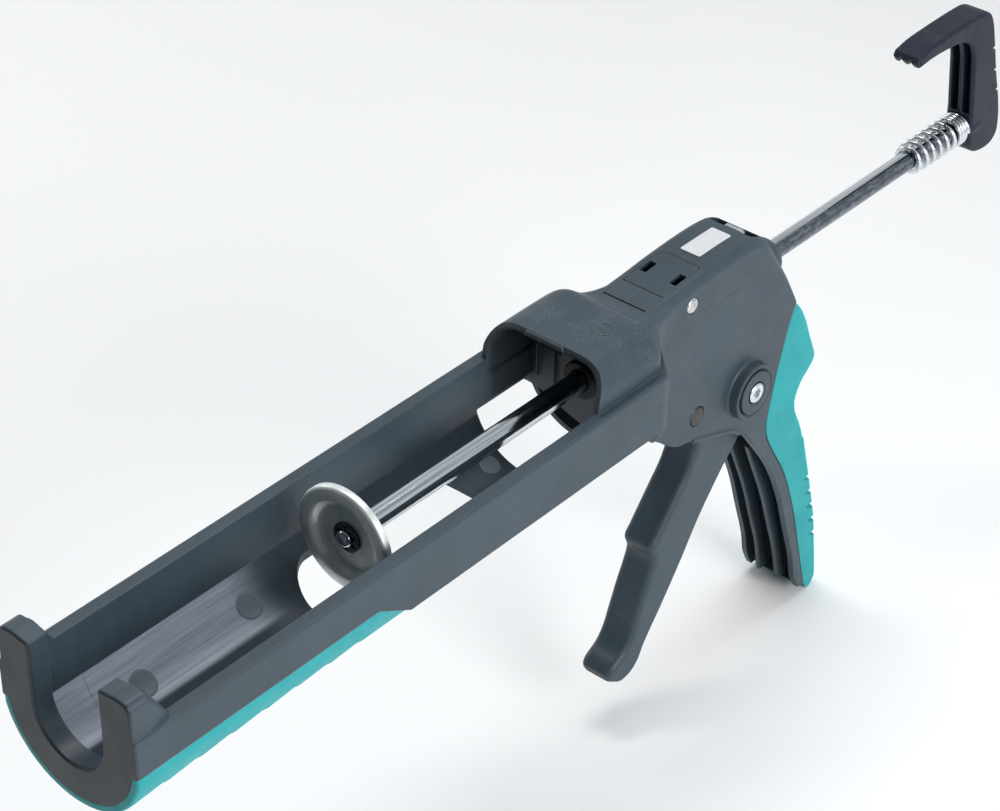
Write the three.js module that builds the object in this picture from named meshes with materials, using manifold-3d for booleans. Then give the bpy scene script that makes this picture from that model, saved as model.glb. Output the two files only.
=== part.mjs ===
// Manual caulking gun for standard sealant cartridges.
// Millimetres, +X towards the nozzle end, +Y to the gun's left, +Z up.
// The push rod lies on the X axis; x = 0 is the plunger's pressing face at rest.
import * as THREE from "three";
import { ConvexGeometry } from "three/addons/geometries/ConvexGeometry.js";
import { mergeVertices } from "three/addons/utils/BufferGeometryUtils.js";
import Module from "manifold-3d";

const wasm = await Module();
wasm.setup();
const { Manifold, Mesh } = wasm;
const gun = new THREE.Group();

// ---------- driving dimensions ----------
const ROD = 4.5; // rod radius
const HOLE = 4.8; // running bore for the rod
const TIP = 3.6; // rod's turned-down tip, which carries the plunger
const TIP_BORE = 3.9;
const FRONT = 134.8; // cradle's front face
const WALL = 126; // back of the front wall
const RAIL = 10.6; // top of the rails
const INNER = 27.8; // bay's half-width and floor radius
const OUTER = 33.8; // skirt's half-width
const SKIRT = -15.5; // skirt's lower edge
const SHELL_R = 33.1; // hard shell under the soft skin
const SKIN_R = 34.6; // soft skin
const FACE_R = 31.6; // round lower edge of the front face
const SKIN_TOP = -5.2;
const SKIN_REAR = -4;
const SLOT_R = 17.3; // U-slot in the front wall
const HOOD = -113; // hood's front edge
const BULK = -140; // bulkhead's front face
const NECK = -165; // end of the cradle
const BODY = -165.4; // start of the housing
const HALF = 15; // housing's half-width
const SPLIT = 0.15; // half the gap between the two shells
const PIVOT = [-233.5, -47]; // trigger's axis, x and z
const PLUNGER_R = 22.5;
const BRAKE_X = -238;
const BRAKE_TILT = 5; // degrees
const FULCRUM = 23; // height of the brake plate's upper end, where it tilts
const RIVETS = [
  { name: "rivet_upper", x: -191, z: 16, r: 3.6 },
  { name: "rivet_lower", x: -198.5, z: -43, r: 4.6 },
];

// ---------- solids ----------
function solid(geometry) {
  const bare = geometry.clone();
  bare.deleteAttribute("normal");
  bare.deleteAttribute("uv");
  const merged = mergeVertices(bare, 1e-4);
  const triVerts = new Uint32Array(merged.index.array);
  const vertProperties = new Float32Array(merged.attributes.position.array);
  const make = () => new Manifold(new Mesh({ numProp: 3, vertProperties, triVerts }));
  const made = make();
  if (made.volume() > 0) return made;
  for (let i = 0; i < triVerts.length; i += 3) {
    [triVerts[i + 1], triVerts[i + 2]] = [triVerts[i + 2], triVerts[i + 1]];
  }
  return make();
}

function geometryOf(made) {
  const mesh = made.getMesh();
  const size = mesh.numProp;
  const position = new Float32Array(mesh.numVert * 3);
  for (let i = 0; i < mesh.numVert; i++) {
    position.set(mesh.vertProperties.subarray(i * size, i * size + 3), i * 3);
  }
  const geometry = new THREE.BufferGeometry();
  geometry.setAttribute("position", new THREE.BufferAttribute(position, 3));
  geometry.setIndex(new THREE.BufferAttribute(new Uint32Array(mesh.triVerts), 1));
  const flat = geometry.toNonIndexed();
  flat.computeVertexNormals();
  return flat;
}

const add = (first, ...others) => others.reduce((a, b) => a.add(b), first);
const cut = (first, ...others) => others.reduce((a, b) => a.subtract(b), first);

function extruded(points, depth, basis) {
  const shape = new THREE.Shape(points.map(([a, b]) => new THREE.Vector2(a, b)));
  const geometry = new THREE.ExtrudeGeometry(shape, { depth, bevelEnabled: false });
  return solid(geometry.applyMatrix4(basis));
}

// outline in x, z, over y0..y1
function side(points, y0, y1) {
  const basis = new THREE.Matrix4().set(1, 0, 0, 0, 0, 0, -1, y1, 0, 1, 0, 0, 0, 0, 0, 1);
  return extruded(points, y1 - y0, basis);
}

// outline in y, z, over x0..x1
function section(points, x0, x1) {
  const basis = new THREE.Matrix4().set(0, 0, 1, x0, 1, 0, 0, 0, 0, 1, 0, 0, 0, 0, 0, 1);
  return extruded(points, x1 - x0, basis);
}

// outline in x, y, over z0..z1
function plan(points, z0, z1) {
  return extruded(points, z1 - z0, new THREE.Matrix4().makeTranslation(0, 0, z0));
}

// profile of [radius, x], turned about the X axis
function turned(profile, n = 32) {
  const geometry = new THREE.LatheGeometry(profile.map(([r, x]) => new THREE.Vector2(r, x)), n);
  geometry.applyMatrix4(new THREE.Matrix4().set(0, 1, 0, 0, -1, 0, 0, 0, 0, 0, 1, 0, 0, 0, 0, 1));
  return solid(geometry);
}

// profile of [radius, y], turned about a line along Y through x, z
function across(profile, x, z, n = 28) {
  const geometry = new THREE.LatheGeometry(profile.map(([r, y]) => new THREE.Vector2(r, y)), n);
  return solid(geometry.translate(x, 0, z));
}

const tube = (inner, outer, a, b) => [[inner, a], [outer, a], [outer, b], [inner, b], [inner, a]];
const rodX = (r, x0, x1, n) => turned(tube(0, r, x0, x1).slice(0, 4), n);
const tubeX = (inner, outer, x0, x1, n) => turned(tube(inner, outer, x0, x1), n);
const rodY = (r, y0, y1, x, z, n) => across(tube(0, r, y0, y1).slice(0, 4), x, z, n);
const tubeY = (inner, outer, y0, y1, x, z, n) => across(tube(inner, outer, y0, y1), x, z, n);

function box(x0, x1, y0, y1, z0, z1) {
  const geometry = new THREE.BoxGeometry(x1 - x0, y1 - y0, z1 - z0);
  return solid(geometry.translate((x0 + x1) / 2, (y0 + y1) / 2, (z0 + z1) / 2));
}

const hull = (points) => solid(new ConvexGeometry(points.map((p) => new THREE.Vector3(...p))));

// ---------- outlines ----------
// points on a circle, degrees from the first axis towards the second
function arc(r, from, to, n, c0 = 0, c1 = 0) {
  return Array.from({ length: n + 1 }, (_, i) => {
    const angle = THREE.MathUtils.degToRad(from + ((to - from) * i) / n);
    return [c0 + r * Math.cos(angle), c1 + r * Math.sin(angle)];
  });
}

// a right half with its mirror image; a last point on the centre line is shared
function symmetric(half) {
  const other = half.map(([a, b]) => [-a, b]).reverse();
  return Math.abs(half.at(-1)[0]) < 1e-6 ? [...half, ...other.slice(1)] : [...half, ...other];
}

// the closed band between an outer and an inner half, both from the right top down
const band = (outer, inner) => [...symmetric(outer), ...symmetric(inner).reverse()];

// a distance range on the left (s = 1) or on the right (s = -1)
const onSide = (s, a, b) => (s > 0 ? [a, b] : [-b, -a]);

class Coil extends THREE.Curve {
  constructor(x0, x1, radius, turns) {
    super();
    Object.assign(this, { x0, x1, radius, turns });
  }
  getPoint(t, out = new THREE.Vector3()) {
    const angle = t * this.turns * 2 * Math.PI;
    const r = this.radius(t);
    return out.set(this.x0 + (this.x1 - this.x0) * t, r * Math.cos(angle), r * Math.sin(angle));
  }
}

function coil(x0, x1, radius, turns, wire, stepsPerTurn = 11) {
  const ring = new THREE.Shape(arc(wire, 0, 288, 4).map(([a, b]) => new THREE.Vector2(a, b)));
  const extrudePath = new Coil(x0, x1, radius, turns);
  const steps = Math.round(turns * stepsPerTurn);
  return solid(new THREE.ExtrudeGeometry(ring, { steps, extrudePath, bevelEnabled: false }));
}

// ---------- materials ----------
const slate = { color: 0x565f68, roughness: 0.5, metalness: 0 };
const teal = { color: 0x12b5b6, roughness: 0.55, metalness: 0 };
const zinc = { color: 0xb9bec2, roughness: 0.25, metalness: 1 };
const steel = { color: 0xa7abae, roughness: 0.3, metalness: 1 };
const dark = { color: 0x5e5a57, roughness: 0.4, metalness: 1 };
const white = { color: 0xf0f1f2, roughness: 0.6, metalness: 0 };

function node(name, made, look) {
  const mesh = new THREE.Mesh(geometryOf(made), new THREE.MeshStandardMaterial(look));
  mesh.name = name;
  gun.add(mesh);
}

// ---------- cradle ----------
const BAY = [[INNER, RAIL], [25.75, -10.5], ...arc(INNER, -22.2, -90, 9).slice(1)];
const BAY_OPENING = [...symmetric(BAY), [-INNER, 40], [INNER, 40]];

// slot with round ends, in x, y
function floorWindow(x0, x1, halfWidth, end) {
  const front = arc(1, -90, 90, 10).map(([a, b]) => [x1 - end + a * end, b * halfWidth]);
  const rear = arc(1, 90, 270, 10).map(([a, b]) => [x0 + end + a * end, b * halfWidth]);
  return [...front, ...rear];
}
const mainWindow = (gap) => plan(floorWindow(-81 - gap, 12.2 + gap, 21.4 + gap, 14 + gap), -40, -12);

// flat rails with skirts, leaning inner walls, round floor and the closed shell under its front half
function tray() {
  const skirt = [[OUTER, RAIL], [OUTER, SKIRT], [31.4, SKIRT], [31.4, 8], [30, 8], [28.1, -10.9]];
  const channel = section(band([...skirt, ...arc(30.3, -21.5, -90, 9).slice(1)], BAY), -146, FRONT - 4);
  const shell = band(
    [[OUTER, -2], ...arc(SHELL_R, -12, -90, 12)],
    [[31.4, -2], ...arc(30.9, -12, -90, 12)],
  );
  const step = [[-4.5, -17], [16.4, SKIN_TOP + 0.3], [FRONT, SKIN_TOP + 0.3], [FRONT, -17]];
  const trimmed = cut(channel, side(step, 30.9, 36), side(step, -36, -30.9));
  return add(trimmed, section(shell, SKIN_REAR + 1, FRONT - 4));
}

// front wall, its two posts and the webs that slope down to the rails
function fork() {
  const face = symmetric([[OUTER, RAIL], [OUTER, -2], ...arc(FACE_R, -12, -90, 12)]);
  const post = [[15, 0], [33.7, 0], [33.7, 21.5], ...arc(4.5, 0, 90, 4, 29.2, 21.5), [15, 26]];
  const web = [[WALL, 25.5], [124.4, 25.5], [114.8, RAIL], [114.8, RAIL - 4], [WALL, RAIL - 4]];
  let made = section(face, WALL, FRONT);
  for (const s of [1, -1]) {
    const postSection = section(post.map(([a, b]) => [s * a, b]), WALL - 1, FRONT);
    made = add(made, postSection, side(web, ...onSide(s, INNER, 31.2)));
  }
  return made;
}

// arched hood over the rod, open in front
function hood() {
  const rake = [[HOOD + 2, 9], [HOOD + 0.01, 9], [-119, 31], [HOOD + 2, 31]];
  const lip = [[-122, 26], [-118.4, 28.2], [-118, 29.2], [-124, 29.2]];
  const outside = section(symmetric([[30.6, RAIL - 3], ...arc(14, 0, 90, 7, 16.6, 15.5)]), -150, HOOD);
  const inside = section(symmetric([[27.4, RAIL - 4], ...arc(11, 0, 90, 6, 16.4, 15.5)]), BULK, HOOD + 1);
  return add(cut(outside, inside, side(rake, -40, 40)), side(lip, -13, 8));
}

// points of an arched cross-section with a skirt
function arch(x, halfWidth, top, bottom, waist) {
  const half = [
    [halfWidth, bottom], [waist, bottom], [waist, RAIL], [halfWidth, top - 10],
    [halfWidth - 6, top - 2], [halfWidth - 13, top],
  ];
  return half.flatMap(([y, z]) => [[x, y, z], [x, -y, z]]);
}

function neck() {
  const shoulder = hull([
    ...arch(-144, 30.4, 29.4, SKIRT, OUTER - 0.05),
    ...arch(-151.5, 29.6, 28.6, -17.5, OUTER - 0.3),
    ...arch(-157, 24.5, 24.9, -28, 26.5),
  ]);
  const throat = hull([...arch(-150, 29, 24, -17.5, 29), ...arch(NECK, 17.5, 24.6, -37.5, 17.5)]);
  return add(shoulder, throat);
}

function cradle() {
  const slot = [...arc(SLOT_R, 0, -180, 18), [-SLOT_R, 40], [SLOT_R, 40]];
  const bulkhead = symmetric([[28, 24], [28, -13.5], [10, -20], [0.01, -23]]);
  const rearWindow = [[BULK, -8.4], [-105.2, -8.4], [-105.2, -40], [BULK, -40]];
  let made = cut(
    add(tray(), fork()),
    section(slot, 110, FRONT + 5),
    section(BAY_OPENING, 60, WALL - 0.2),
    turned([[0, 112], [28.2, 112], [28.2, WALL], [0, WALL]], 48),
    mainWindow(0),
    side(rearWindow, -30.6, 30.6),
  );
  made = add(made, hood(), section(bulkhead, -146, BULK), neck());
  return cut(made, rodX(8.3, -170, -110, 28));
}
node("cradle", cradle(), slate);

// soft skin under the front half, with a lip round the front face
function skin() {
  const outer = [[33.75, SKIN_TOP], ...arc(SKIN_R, -12.5, -90, 13)];
  const inner = [[33.35, SKIN_TOP - 0.1], ...arc(SHELL_R + 0.25, -14, -90, 13)];
  const lipInner = [[32.6, SKIN_TOP - 0.1], ...arc(FACE_R + 0.3, -14, -90, 13)];
  const body = section(band(outer, inner), SKIN_REAR, FRONT - 0.3);
  const lip = section(band(outer, lipInner), FRONT - 3.6, FRONT - 0.3);
  const rear = [[-6, -2], [16, -2], [16, SKIN_TOP - 0.6], [-6, -18]];
  const steps = [34, 58, 82, 106].map((x) => [[x, -31.9], [x + 7, -33.9], [x + 8, -35], [x, -35]]);
  return cut(add(body, lip), side(rear, -40, 40), mainWindow(0.3), ...steps.map((s) => side(s, -40, 40)));
}
node("cradle_skin", skin(), teal);

// ---------- housing and handle shells ----------
const BODY_LINE = [
  [BODY, 24.5], [-178, 25.2], [-200, 27], [-229, 27.4], [-238, 25.8], [-244, 22], [-247.5, 17],
  [-258.5, -1], [-267, -19.5], [-263, -27], [-259.5, -37], [-255.5, -51], [-252.5, -65], [-250.6, -75],
  [-251.5, -82], [-256.5, -92], [-267.5, -111], [-277.5, -137], [-285.3, -165], [-290.2, -183],
  [-292, -189.2], [-288, -189.8], [-283.8, -181], [-281.3, -169], [-274.5, -148], [-267.3, -126],
  [-256.5, -103], [-243.5, -84], [-233, -71], [-229, -68], [-220, -64], [-210, -60], [-202, -57],
  [-195, -55], [-184, -52], [-175, -44.5], [-168, -40], [BODY, -38],
];
const CHAMBER = [
  [-168.4, 20], [-200, 23], [-222, 23.6], [-241, 22.4], [-247, 13], [-255, -3], [-262, -20],
  [-252, -50], [-247, -74], [-230, -66], [-204, -54], [-186, -49], [-176, -42], [-168.4, -34],
];
const TRIGGER_MOUTH = [
  [-240, -90], [-250, -74], [-228, -62], [-204, -50], [-188, -47], [-188, -75], [-200, -100],
];
const HANDLE_OPENING = [
  [-236, -70], [-248, -78], [-253, -92], [-262.5, -111], [-272, -137], [-280, -165], [-286, -186],
  [-280, -196], [-262, -170], [-240, -100],
];
// core of the handle, inside the soft grip
const CORE_REAR = [
  [-266, -24], [-274, -34], [-279, -47], [-281, -56], [-273, -65], [-270, -76], [-275.5, -94],
  [-281, -112], [-286, -132], [-289.5, -150], [-293, -170], [-296.5, -188],
];
const CORE_FRONT = [
  [-290.4, -188], [-288, -178], [-283, -160], [-276, -137], [-266, -111], [-255, -92],
  [-249.5, -82], [-248, -74], [-251, -60], [-256, -40],
];
const CORE_HOLLOW = [
  [-262, -84], [-271, -94], [-276.5, -112], [-281.5, -132], [-285, -150], [-288.5, -170], [-290.5, -182],
  [-286.5, -184], [-280, -165], [-272, -137], [-262.5, -111], [-253, -92], [-251, -84],
];
const HANDLE_RIB = [
  [-250, -93], [-257, -107], [-266, -128], [-273.5, -150], [-279.5, -168], [-283.6, -186.5],
  [-290.4, -186.5], [-291, -182], [-289, -170], [-285.5, -150], [-282, -132], [-277, -112],
  [-271.5, -94], [-262, -86],
];
const CORE_POCKET = [[-254, -58], [-262, -40], [-270, -48], [-273, -56], [-262, -66]];
const HUB_SWEEP = [
  [-244, -44], [-256, -51], [-259, -64], [-257.5, -80], [-252, -93], [-242, -86], [-236, -60],
];

function housing(s) {
  const through = (points, a, b) => side(points, ...onSide(s, a, b));
  const flare = [
    [BODY, SPLIT, 24], [BODY, 6, 24.2], [BODY, 17, 14], [BODY, 17.4, -30], [BODY, SPLIT, -37.5],
    [-179, SPLIT, 24.6], [-179, 9, 24.6], [-179, HALF, 18], [-179, HALF, -40], [-179, SPLIT, -40],
  ];
  const shoulder = [[11, 28], [15.4, 23.6], [15.4, 30], [11, 30]].map(([y, z]) => [s * y, z]);
  let made = cut(through(BODY_LINE, SPLIT, HALF), section(shoulder, -260, -160));
  made = add(made, hull(flare.map(([x, y, z]) => [x, s * y, z])));
  made = cut(made, ...[CHAMBER, TRIGGER_MOUTH, HANDLE_OPENING].map((line) => through(line, -1, 12)));
  made = add(made, through([...CORE_REAR, ...CORE_FRONT], SPLIT, 11.7));
  made = cut(made, through(CORE_HOLLOW, -1, 9.5));
  made = add(made, through(HANDLE_RIB, 4, 6.4));
  made = cut(made, through(CORE_POCKET, -1, 9), through(HUB_SWEEP, -1, 9.4));
  // stop rib for the brake spring
  made = add(made, through([[-227, 24], [-229, 24], [-229, -5.5], [-227, -5.5]], SPLIT, 13));
  // bores for the rod and the release collar, roof slot for the brake plate, roof opening for the hatch
  made = cut(
    made,
    rodX(HOLE + 0.2, -300, -160, 28),
    rodX(10.9, -290, -244, 32),
    box(-240.6, -235.4, ...onSide(s, -1, 11.5), 20, 30),
    box(-202.4, -176, ...onSide(s, -1, 10.7), 21.5, 30),
  );
  // pivot boss with its recess
  made = add(made, rodY(13.2, ...onSide(s, 10.8, 20), ...PIVOT, 32));
  const capRecess = rodY(10.6, ...onSide(s, 18.6, 21), ...PIVOT, 32);
  made = cut(made, capRecess, rodY(4.8, ...onSide(s, 5, 21), ...PIVOT, 32));
  for (const { x, z, r } of RIVETS) {
    const headRecess = rodY(r + 0.25, ...onSide(s, 14, 16), x, z, 20);
    made = cut(made, rodY(2.4, ...onSide(s, -1, 16), x, z, 16), headRecess);
  }
  return made;
}
node("housing_left", housing(1), slate);
node("housing_right", housing(-1), slate);

// ---------- soft grip around the handle's back ----------
const GRIP_BACK = [
  [-266.9, -21.2], [-270.5, -22.5], [-277, -32], [-282, -44], [-285.5, -52], [-287, -57], [-284, -61.5],
  [-277.5, -67], [-274.3, -74], [-274.6, -79], [-281, -93], [-286, -110], [-291, -128], [-294.5, -141],
  [-297, -151], [-299.5, -166], [-303, -190], [-301, -194.3], [-295.5, -194.3], [-292.6, -189.5],
];
const GRIP_FRONT = [
  [-290.7, -183], [-285.9, -165], [-278.1, -137], [-268.1, -111], [-257.1, -92], [-252.1, -82],
  [-251.2, -75], [-253.1, -65], [-256.1, -51], [-260.1, -37], [-263.6, -27],
];
const CORE_CLEARANCE = [
  [-262, -20], [-266.2, -23.7], [-274.3, -33.8], [-279.3, -47], [-281.4, -56.2], [-273.3, -65.2],
  [-270.3, -76], [-275.8, -94], [-281.3, -112], [-286.3, -132], [-289.8, -150], [-293.3, -170],
  [-296.9, -188.3], [-285, -191], [-270, -160], [-240, -90], [-240, -50],
];
const GRIP_NOTCHES = 5;

function grip() {
  const notches = Array.from({ length: GRIP_NOTCHES }, (_, i) => {
    const z = -124 - 9.2 * i;
    const x = -289.9 - 0.24 * (-124 - z);
    return side([[x + 3.6, z], [x - 8, z], [x - 8, z - 4], [x + 0.5, z - 2.4]], -16, 16);
  });
  return cut(side([...GRIP_BACK, ...GRIP_FRONT], -14.9, 14.9), side(CORE_CLEARANCE, -12, 12), ...notches);
}
node("handle_grip", grip(), teal);

// ---------- roof ----------
const hatchWindow = (s) => box(-194, -185, ...onSide(s, 5.6, 9.4), 20, 30);
node("top_hatch", cut(box(-202, -176.4, -10.3, 10.3, 23.7, 25.9), hatchWindow(1), hatchWindow(-1)), slate);
node("blank_label", box(-229, -207.2, -5, 5, 27.75, 28.05), white);

// ---------- fasteners ----------
for (const { name, x, z, r } of RIVETS) {
  const heads = [rodY(r, 14.3, 15.2, x, z, 20), rodY(r, -15.2, -14.3, x, z, 20)];
  node(name, add(rodY(2.1, -14.8, 14.8, x, z, 16), ...heads), dark);
}
node("pivot_sleeve", tubeY(3.1, 4.5, -18.2, 18.2, ...PIVOT, 24), steel);
for (const [name, s] of [["pivot_cap_left", 1], ["pivot_cap_right", -1]]) {
  node(name, tubeY(5, 10.2, ...onSide(s, 18.9, 20.6), ...PIVOT, 32), slate);
}
const hexSocket = side(arc(2.3, 0, 300, 5, ...PIVOT), 18.9, 22);
const screw = add(rodY(2.7, -17.8, 19.2, ...PIVOT, 20), rodY(4.6, 18.5, 21, ...PIVOT, 24));
node("pivot_screw", cut(screw, hexSocket), zinc);
const nut = side(arc(4.7, 0, 300, 5, ...PIVOT), -20.8, -18.5);
node("pivot_nut", cut(nut, rodY(3, -22, -18, ...PIVOT, 20)), zinc);
node("rod_bush", add(tubeX(HOLE, 8, -164.8, -137, 28), tubeX(HOLE, 10.5, -139.6, -137, 28)), slate);

// ---------- trigger ----------
const TRIGGER_FACE = [
  [-222.8, -44], [-216, -54], [-210.5, -64], [-206.5, -74], [-203.2, -80], [-197, -87.5], [-190, -96],
  [-183.6, -104], [-181.8, -108], [-182.6, -114], [-180.6, -121], [-176, -131], [-171.5, -142],
  [-167.2, -152], [-163, -156.5], [-156.6, -160], [-154.6, -163.5], [-156.6, -167.6], [-162, -169.6],
];
const TRIGGER_BACK = [
  [-170, -168.6], [-174.5, -165], [-178.5, -157], [-189, -144], [-202, -126], [-214, -108], [-229, -90],
  [-240, -78], [-244, -66], [-245.3, -55], [-245.3, -47], [-243.5, -40], [-239, -36],
];
const TRIGGER_HORN = [
  [-236, -26], [-233.3, -9], [-231, -7.6], [-227.2, -7.6], [-226, -9.5], [-226, -30], [-224.5, -38],
];
const TRIGGER_POCKET = [
  [-228, -66], [-212, -82], [-196, -103], [-187, -118], [-177, -140], [-170, -155], [-174, -163],
  [-180, -158], [-250, -80], [-252, -64],
];

function trigger() {
  let made = side([...TRIGGER_FACE, ...TRIGGER_BACK, ...TRIGGER_HORN], -8.5, 8.5);
  for (const s of [1, -1]) {
    const hornThinning = box(-240, -222, ...onSide(s, 5, 10), -34, 0);
    made = cut(made, hornThinning, side(TRIGGER_POCKET, ...onSide(s, 1.4, 6.2)));
  }
  return cut(made, rodY(7.4, -12, 12, ...PIVOT, 28));
}
node("trigger", trigger(), slate);
node("pivot_bush", tubeY(4.8, 7.1, -8.3, 8.3, ...PIVOT, 24), zinc);

// ---------- drive and brake ----------
function plate(x0, x1, z0, z1, halfWidth, bore) {
  const c = 2; // cut corners
  const half = [[halfWidth - c, z0], [halfWidth, z0 + c], [halfWidth, z1 - c], [halfWidth - c, z1]];
  return cut(section(symmetric(half), x0, x1), rodX(bore, x0 - 1, x1 + 1, 28));
}
node("grip_plate_front", plate(-222.6, -220.6, -19, 13, 9, HOLE), steel);
node("grip_plate_rear", plate(-225.2, -223, -19, 13, 9, HOLE), steel);
node("drive_spring", coil(-218.8, -170, () => 8, 8, 0.8), zinc);

function brake() {
  const lever = plate(BRAKE_X - 1, BRAKE_X + 1, -16, 21.5, 9.5, HOLE + 0.6);
  const tab = box(BRAKE_X - 1, BRAKE_X + 1, -5, 5, 21, 25.6);
  const upright = add(lever, tab).translate([-BRAKE_X, 0, -FULCRUM]);
  return upright.rotate([0, BRAKE_TILT, 0]).translate([BRAKE_X, 0, FULCRUM]);
}
node("brake_plate", brake(), steel);
node("brake_spring", coil(-237.2, -230.2, () => 5.5, 3, 0.5), zinc);
const collar = [
  [HOLE, -243.4], [9.6, -243.4], [10.5, -244.6], [10.5, -261], [9.4, -263.2], [6.2, -263.6],
  [HOLE, -262.6], [HOLE, -243.4],
];
node("release_collar", turned(collar), slate);

// ---------- push rod assembly ----------
const PIN_X = -418;
const rodProfile = [
  [0, -424], [ROD - 0.6, -424], [ROD, -423.2], [ROD, -7.6], [TIP, -7.6], [TIP, -1], [TIP - 0.8, 0], [0, 0],
];
node("push_rod", cut(turned(rodProfile), rodY(1.8, -6, 6, PIN_X, 0, 16)), zinc);
const dish = [
  [TIP_BORE, -5], [14.2, -5], [16.4, -1.8], [20.4, -1.8], [20.9, -3.4], [22.3, -3.4], [PLUNGER_R, -3.2],
  [PLUNGER_R, -1.2], [22.1, -0.4], [21.3, 0], [17.2, 0], [15.6, -0.6], [14, -3.2], [TIP_BORE, -3.2],
  [TIP_BORE, -5],
];
node("plunger_plate", turned(dish, 40), zinc);
node("plunger_washer", tubeX(TIP_BORE, 9, -7.3, -5.3, 28), zinc);

// washer with six slits between its teeth
function starWasher() {
  const slits = [0, 60, 120, 180, 240, 300].map((degrees) =>
    box(-4, 0, 3.5, 5.3, -0.7, 0.7).rotate([degrees, 0, 0]),
  );
  return cut(section(arc(6.4, 0, 345, 23), -2.9, -2), rodX(TIP_BORE, -4, 0, 20), ...slits);
}
node("retaining_washer", starWasher(), dark);
const narrowedFront = (t) => 6.7 - Math.max(0, t - 0.88) * 8;
node("buffer_spring", coil(-409.2, -369.5, narrowedFront, 8.5, 1.05, 12), zinc);

// ---------- hook handle ----------
const HOOK_TOP = [
  [-358.6, 55.6], [-360, 57.6], [-369, 59.6], [-392, 60.4], [-412, 60.2], [-417.5, 58], [-421, 52],
];
const HOOK_BACK = [
  [-424, 42], [-429.4, 22], [-434, 7], [-436, -5], [-435.6, -11], [-432, -14.4], [-424, -15.6], [-414, -12.6],
];
const HOOK_INSIDE = [
  [-410.6, -8], [-410.6, 8], [-410, 14], [-406.6, 40], [-404, 47], [-398, 50.6], [-384, 53], [-362, 52.6],
];
const HOOK_CHANNEL = [
  [-405, 9.5], [-412.6, 9.5], [-416.6, 14], [-415.6, 26], [-412, 44], [-408, 48], [-401, 46], [-403, 30],
];
const ARM_SLOT = [[-356, 50], [-399, 46], [-404, 54], [-396, 56.6], [-362, 55.6]];
const HOOK_NOTCHES = [[-425.1, 38], [-428.4, 25.5], [-431.9, 14]];

function hook() {
  let made = add(side([...HOOK_TOP, ...HOOK_BACK, ...HOOK_INSIDE], -7, 7), rodX(7.4, -426, -410.6, 28));
  for (const s of [1, -1]) {
    made = cut(made, side(HOOK_CHANNEL, ...onSide(s, 0.9, 5.2)), side(ARM_SLOT, ...onSide(s, 1.7, 3.3)));
  }
  for (const [x, z] of HOOK_NOTCHES) {
    made = cut(made, side([[x + 3.2, z], [x - 3, z + 2.2], [x - 3, z - 2.2]], -8, 8));
  }
  return cut(made, rodX(ROD + 0.1, -424.2, -400, 28), rodY(1.7, -6.2, 6.2, PIN_X, 0, 16));
}
node("hook_handle", hook(), slate);
node("hook_pin", rodY(1.5, -6, 6, PIN_X, 0, 16), zinc);

export default gun;
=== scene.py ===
"""Caulking gun: detailed pieces, materials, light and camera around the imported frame.

Sizes are millimetres in the part's frame: +X to the nozzle end, +Y left, +Z up, rod on the X axis.
"""

import math

import bmesh
import bpy
from mathutils import Matrix, Vector


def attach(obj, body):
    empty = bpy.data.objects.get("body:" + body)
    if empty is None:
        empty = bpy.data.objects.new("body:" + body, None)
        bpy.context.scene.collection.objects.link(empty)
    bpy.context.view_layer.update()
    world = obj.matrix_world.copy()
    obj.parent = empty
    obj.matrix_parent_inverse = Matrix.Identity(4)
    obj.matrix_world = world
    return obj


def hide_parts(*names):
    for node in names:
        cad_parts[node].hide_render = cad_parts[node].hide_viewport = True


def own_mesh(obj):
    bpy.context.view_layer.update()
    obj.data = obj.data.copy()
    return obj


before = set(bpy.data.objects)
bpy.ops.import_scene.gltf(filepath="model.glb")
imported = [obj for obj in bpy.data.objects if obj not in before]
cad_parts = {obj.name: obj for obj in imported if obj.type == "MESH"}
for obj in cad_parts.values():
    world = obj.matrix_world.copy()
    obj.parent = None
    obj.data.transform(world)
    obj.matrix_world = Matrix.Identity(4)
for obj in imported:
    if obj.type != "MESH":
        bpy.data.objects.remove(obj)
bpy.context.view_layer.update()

MM = 0.001
COLLECTION = bpy.context.scene.collection


# ---------- outlines ----------
def fillet(points, radius=0.8, step=9):
    """Closed outline with each corner rounded. A point's third number is its own radius."""
    out = []
    count = len(points)
    for i, p in enumerate(points):
        r = p[2] if len(p) > 2 else radius
        a, b, c = (Vector(q[:2]) for q in (points[i - 1], p, points[(i + 1) % count]))
        u, v = a - b, c - b
        lu, lv = u.length, v.length
        u.normalize()
        v.normalize()
        angle = math.acos(max(-1.0, min(1.0, u.dot(v))))
        if r <= 0 or angle > math.radians(176):
            out.append(b)
            continue
        t = min(r / math.tan(angle / 2), lu * 0.48, lv * 0.48)
        r = t * math.tan(angle / 2)
        centre = b + (u + v).normalized() * (r / math.sin(angle / 2))
        first, last = b + u * t - centre, b + v * t - centre
        start = math.atan2(first.y, first.x)
        turn = (math.atan2(last.y, last.x) - start + math.pi) % (2 * math.pi) - math.pi
        pieces = max(2, math.ceil(abs(math.degrees(turn)) / step))
        for j in range(pieces + 1):
            at = start + turn * j / pieces
            out.append(centre + r * Vector((math.cos(at), math.sin(at))))
    return [(q.x, q.y) for q in out]


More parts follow.
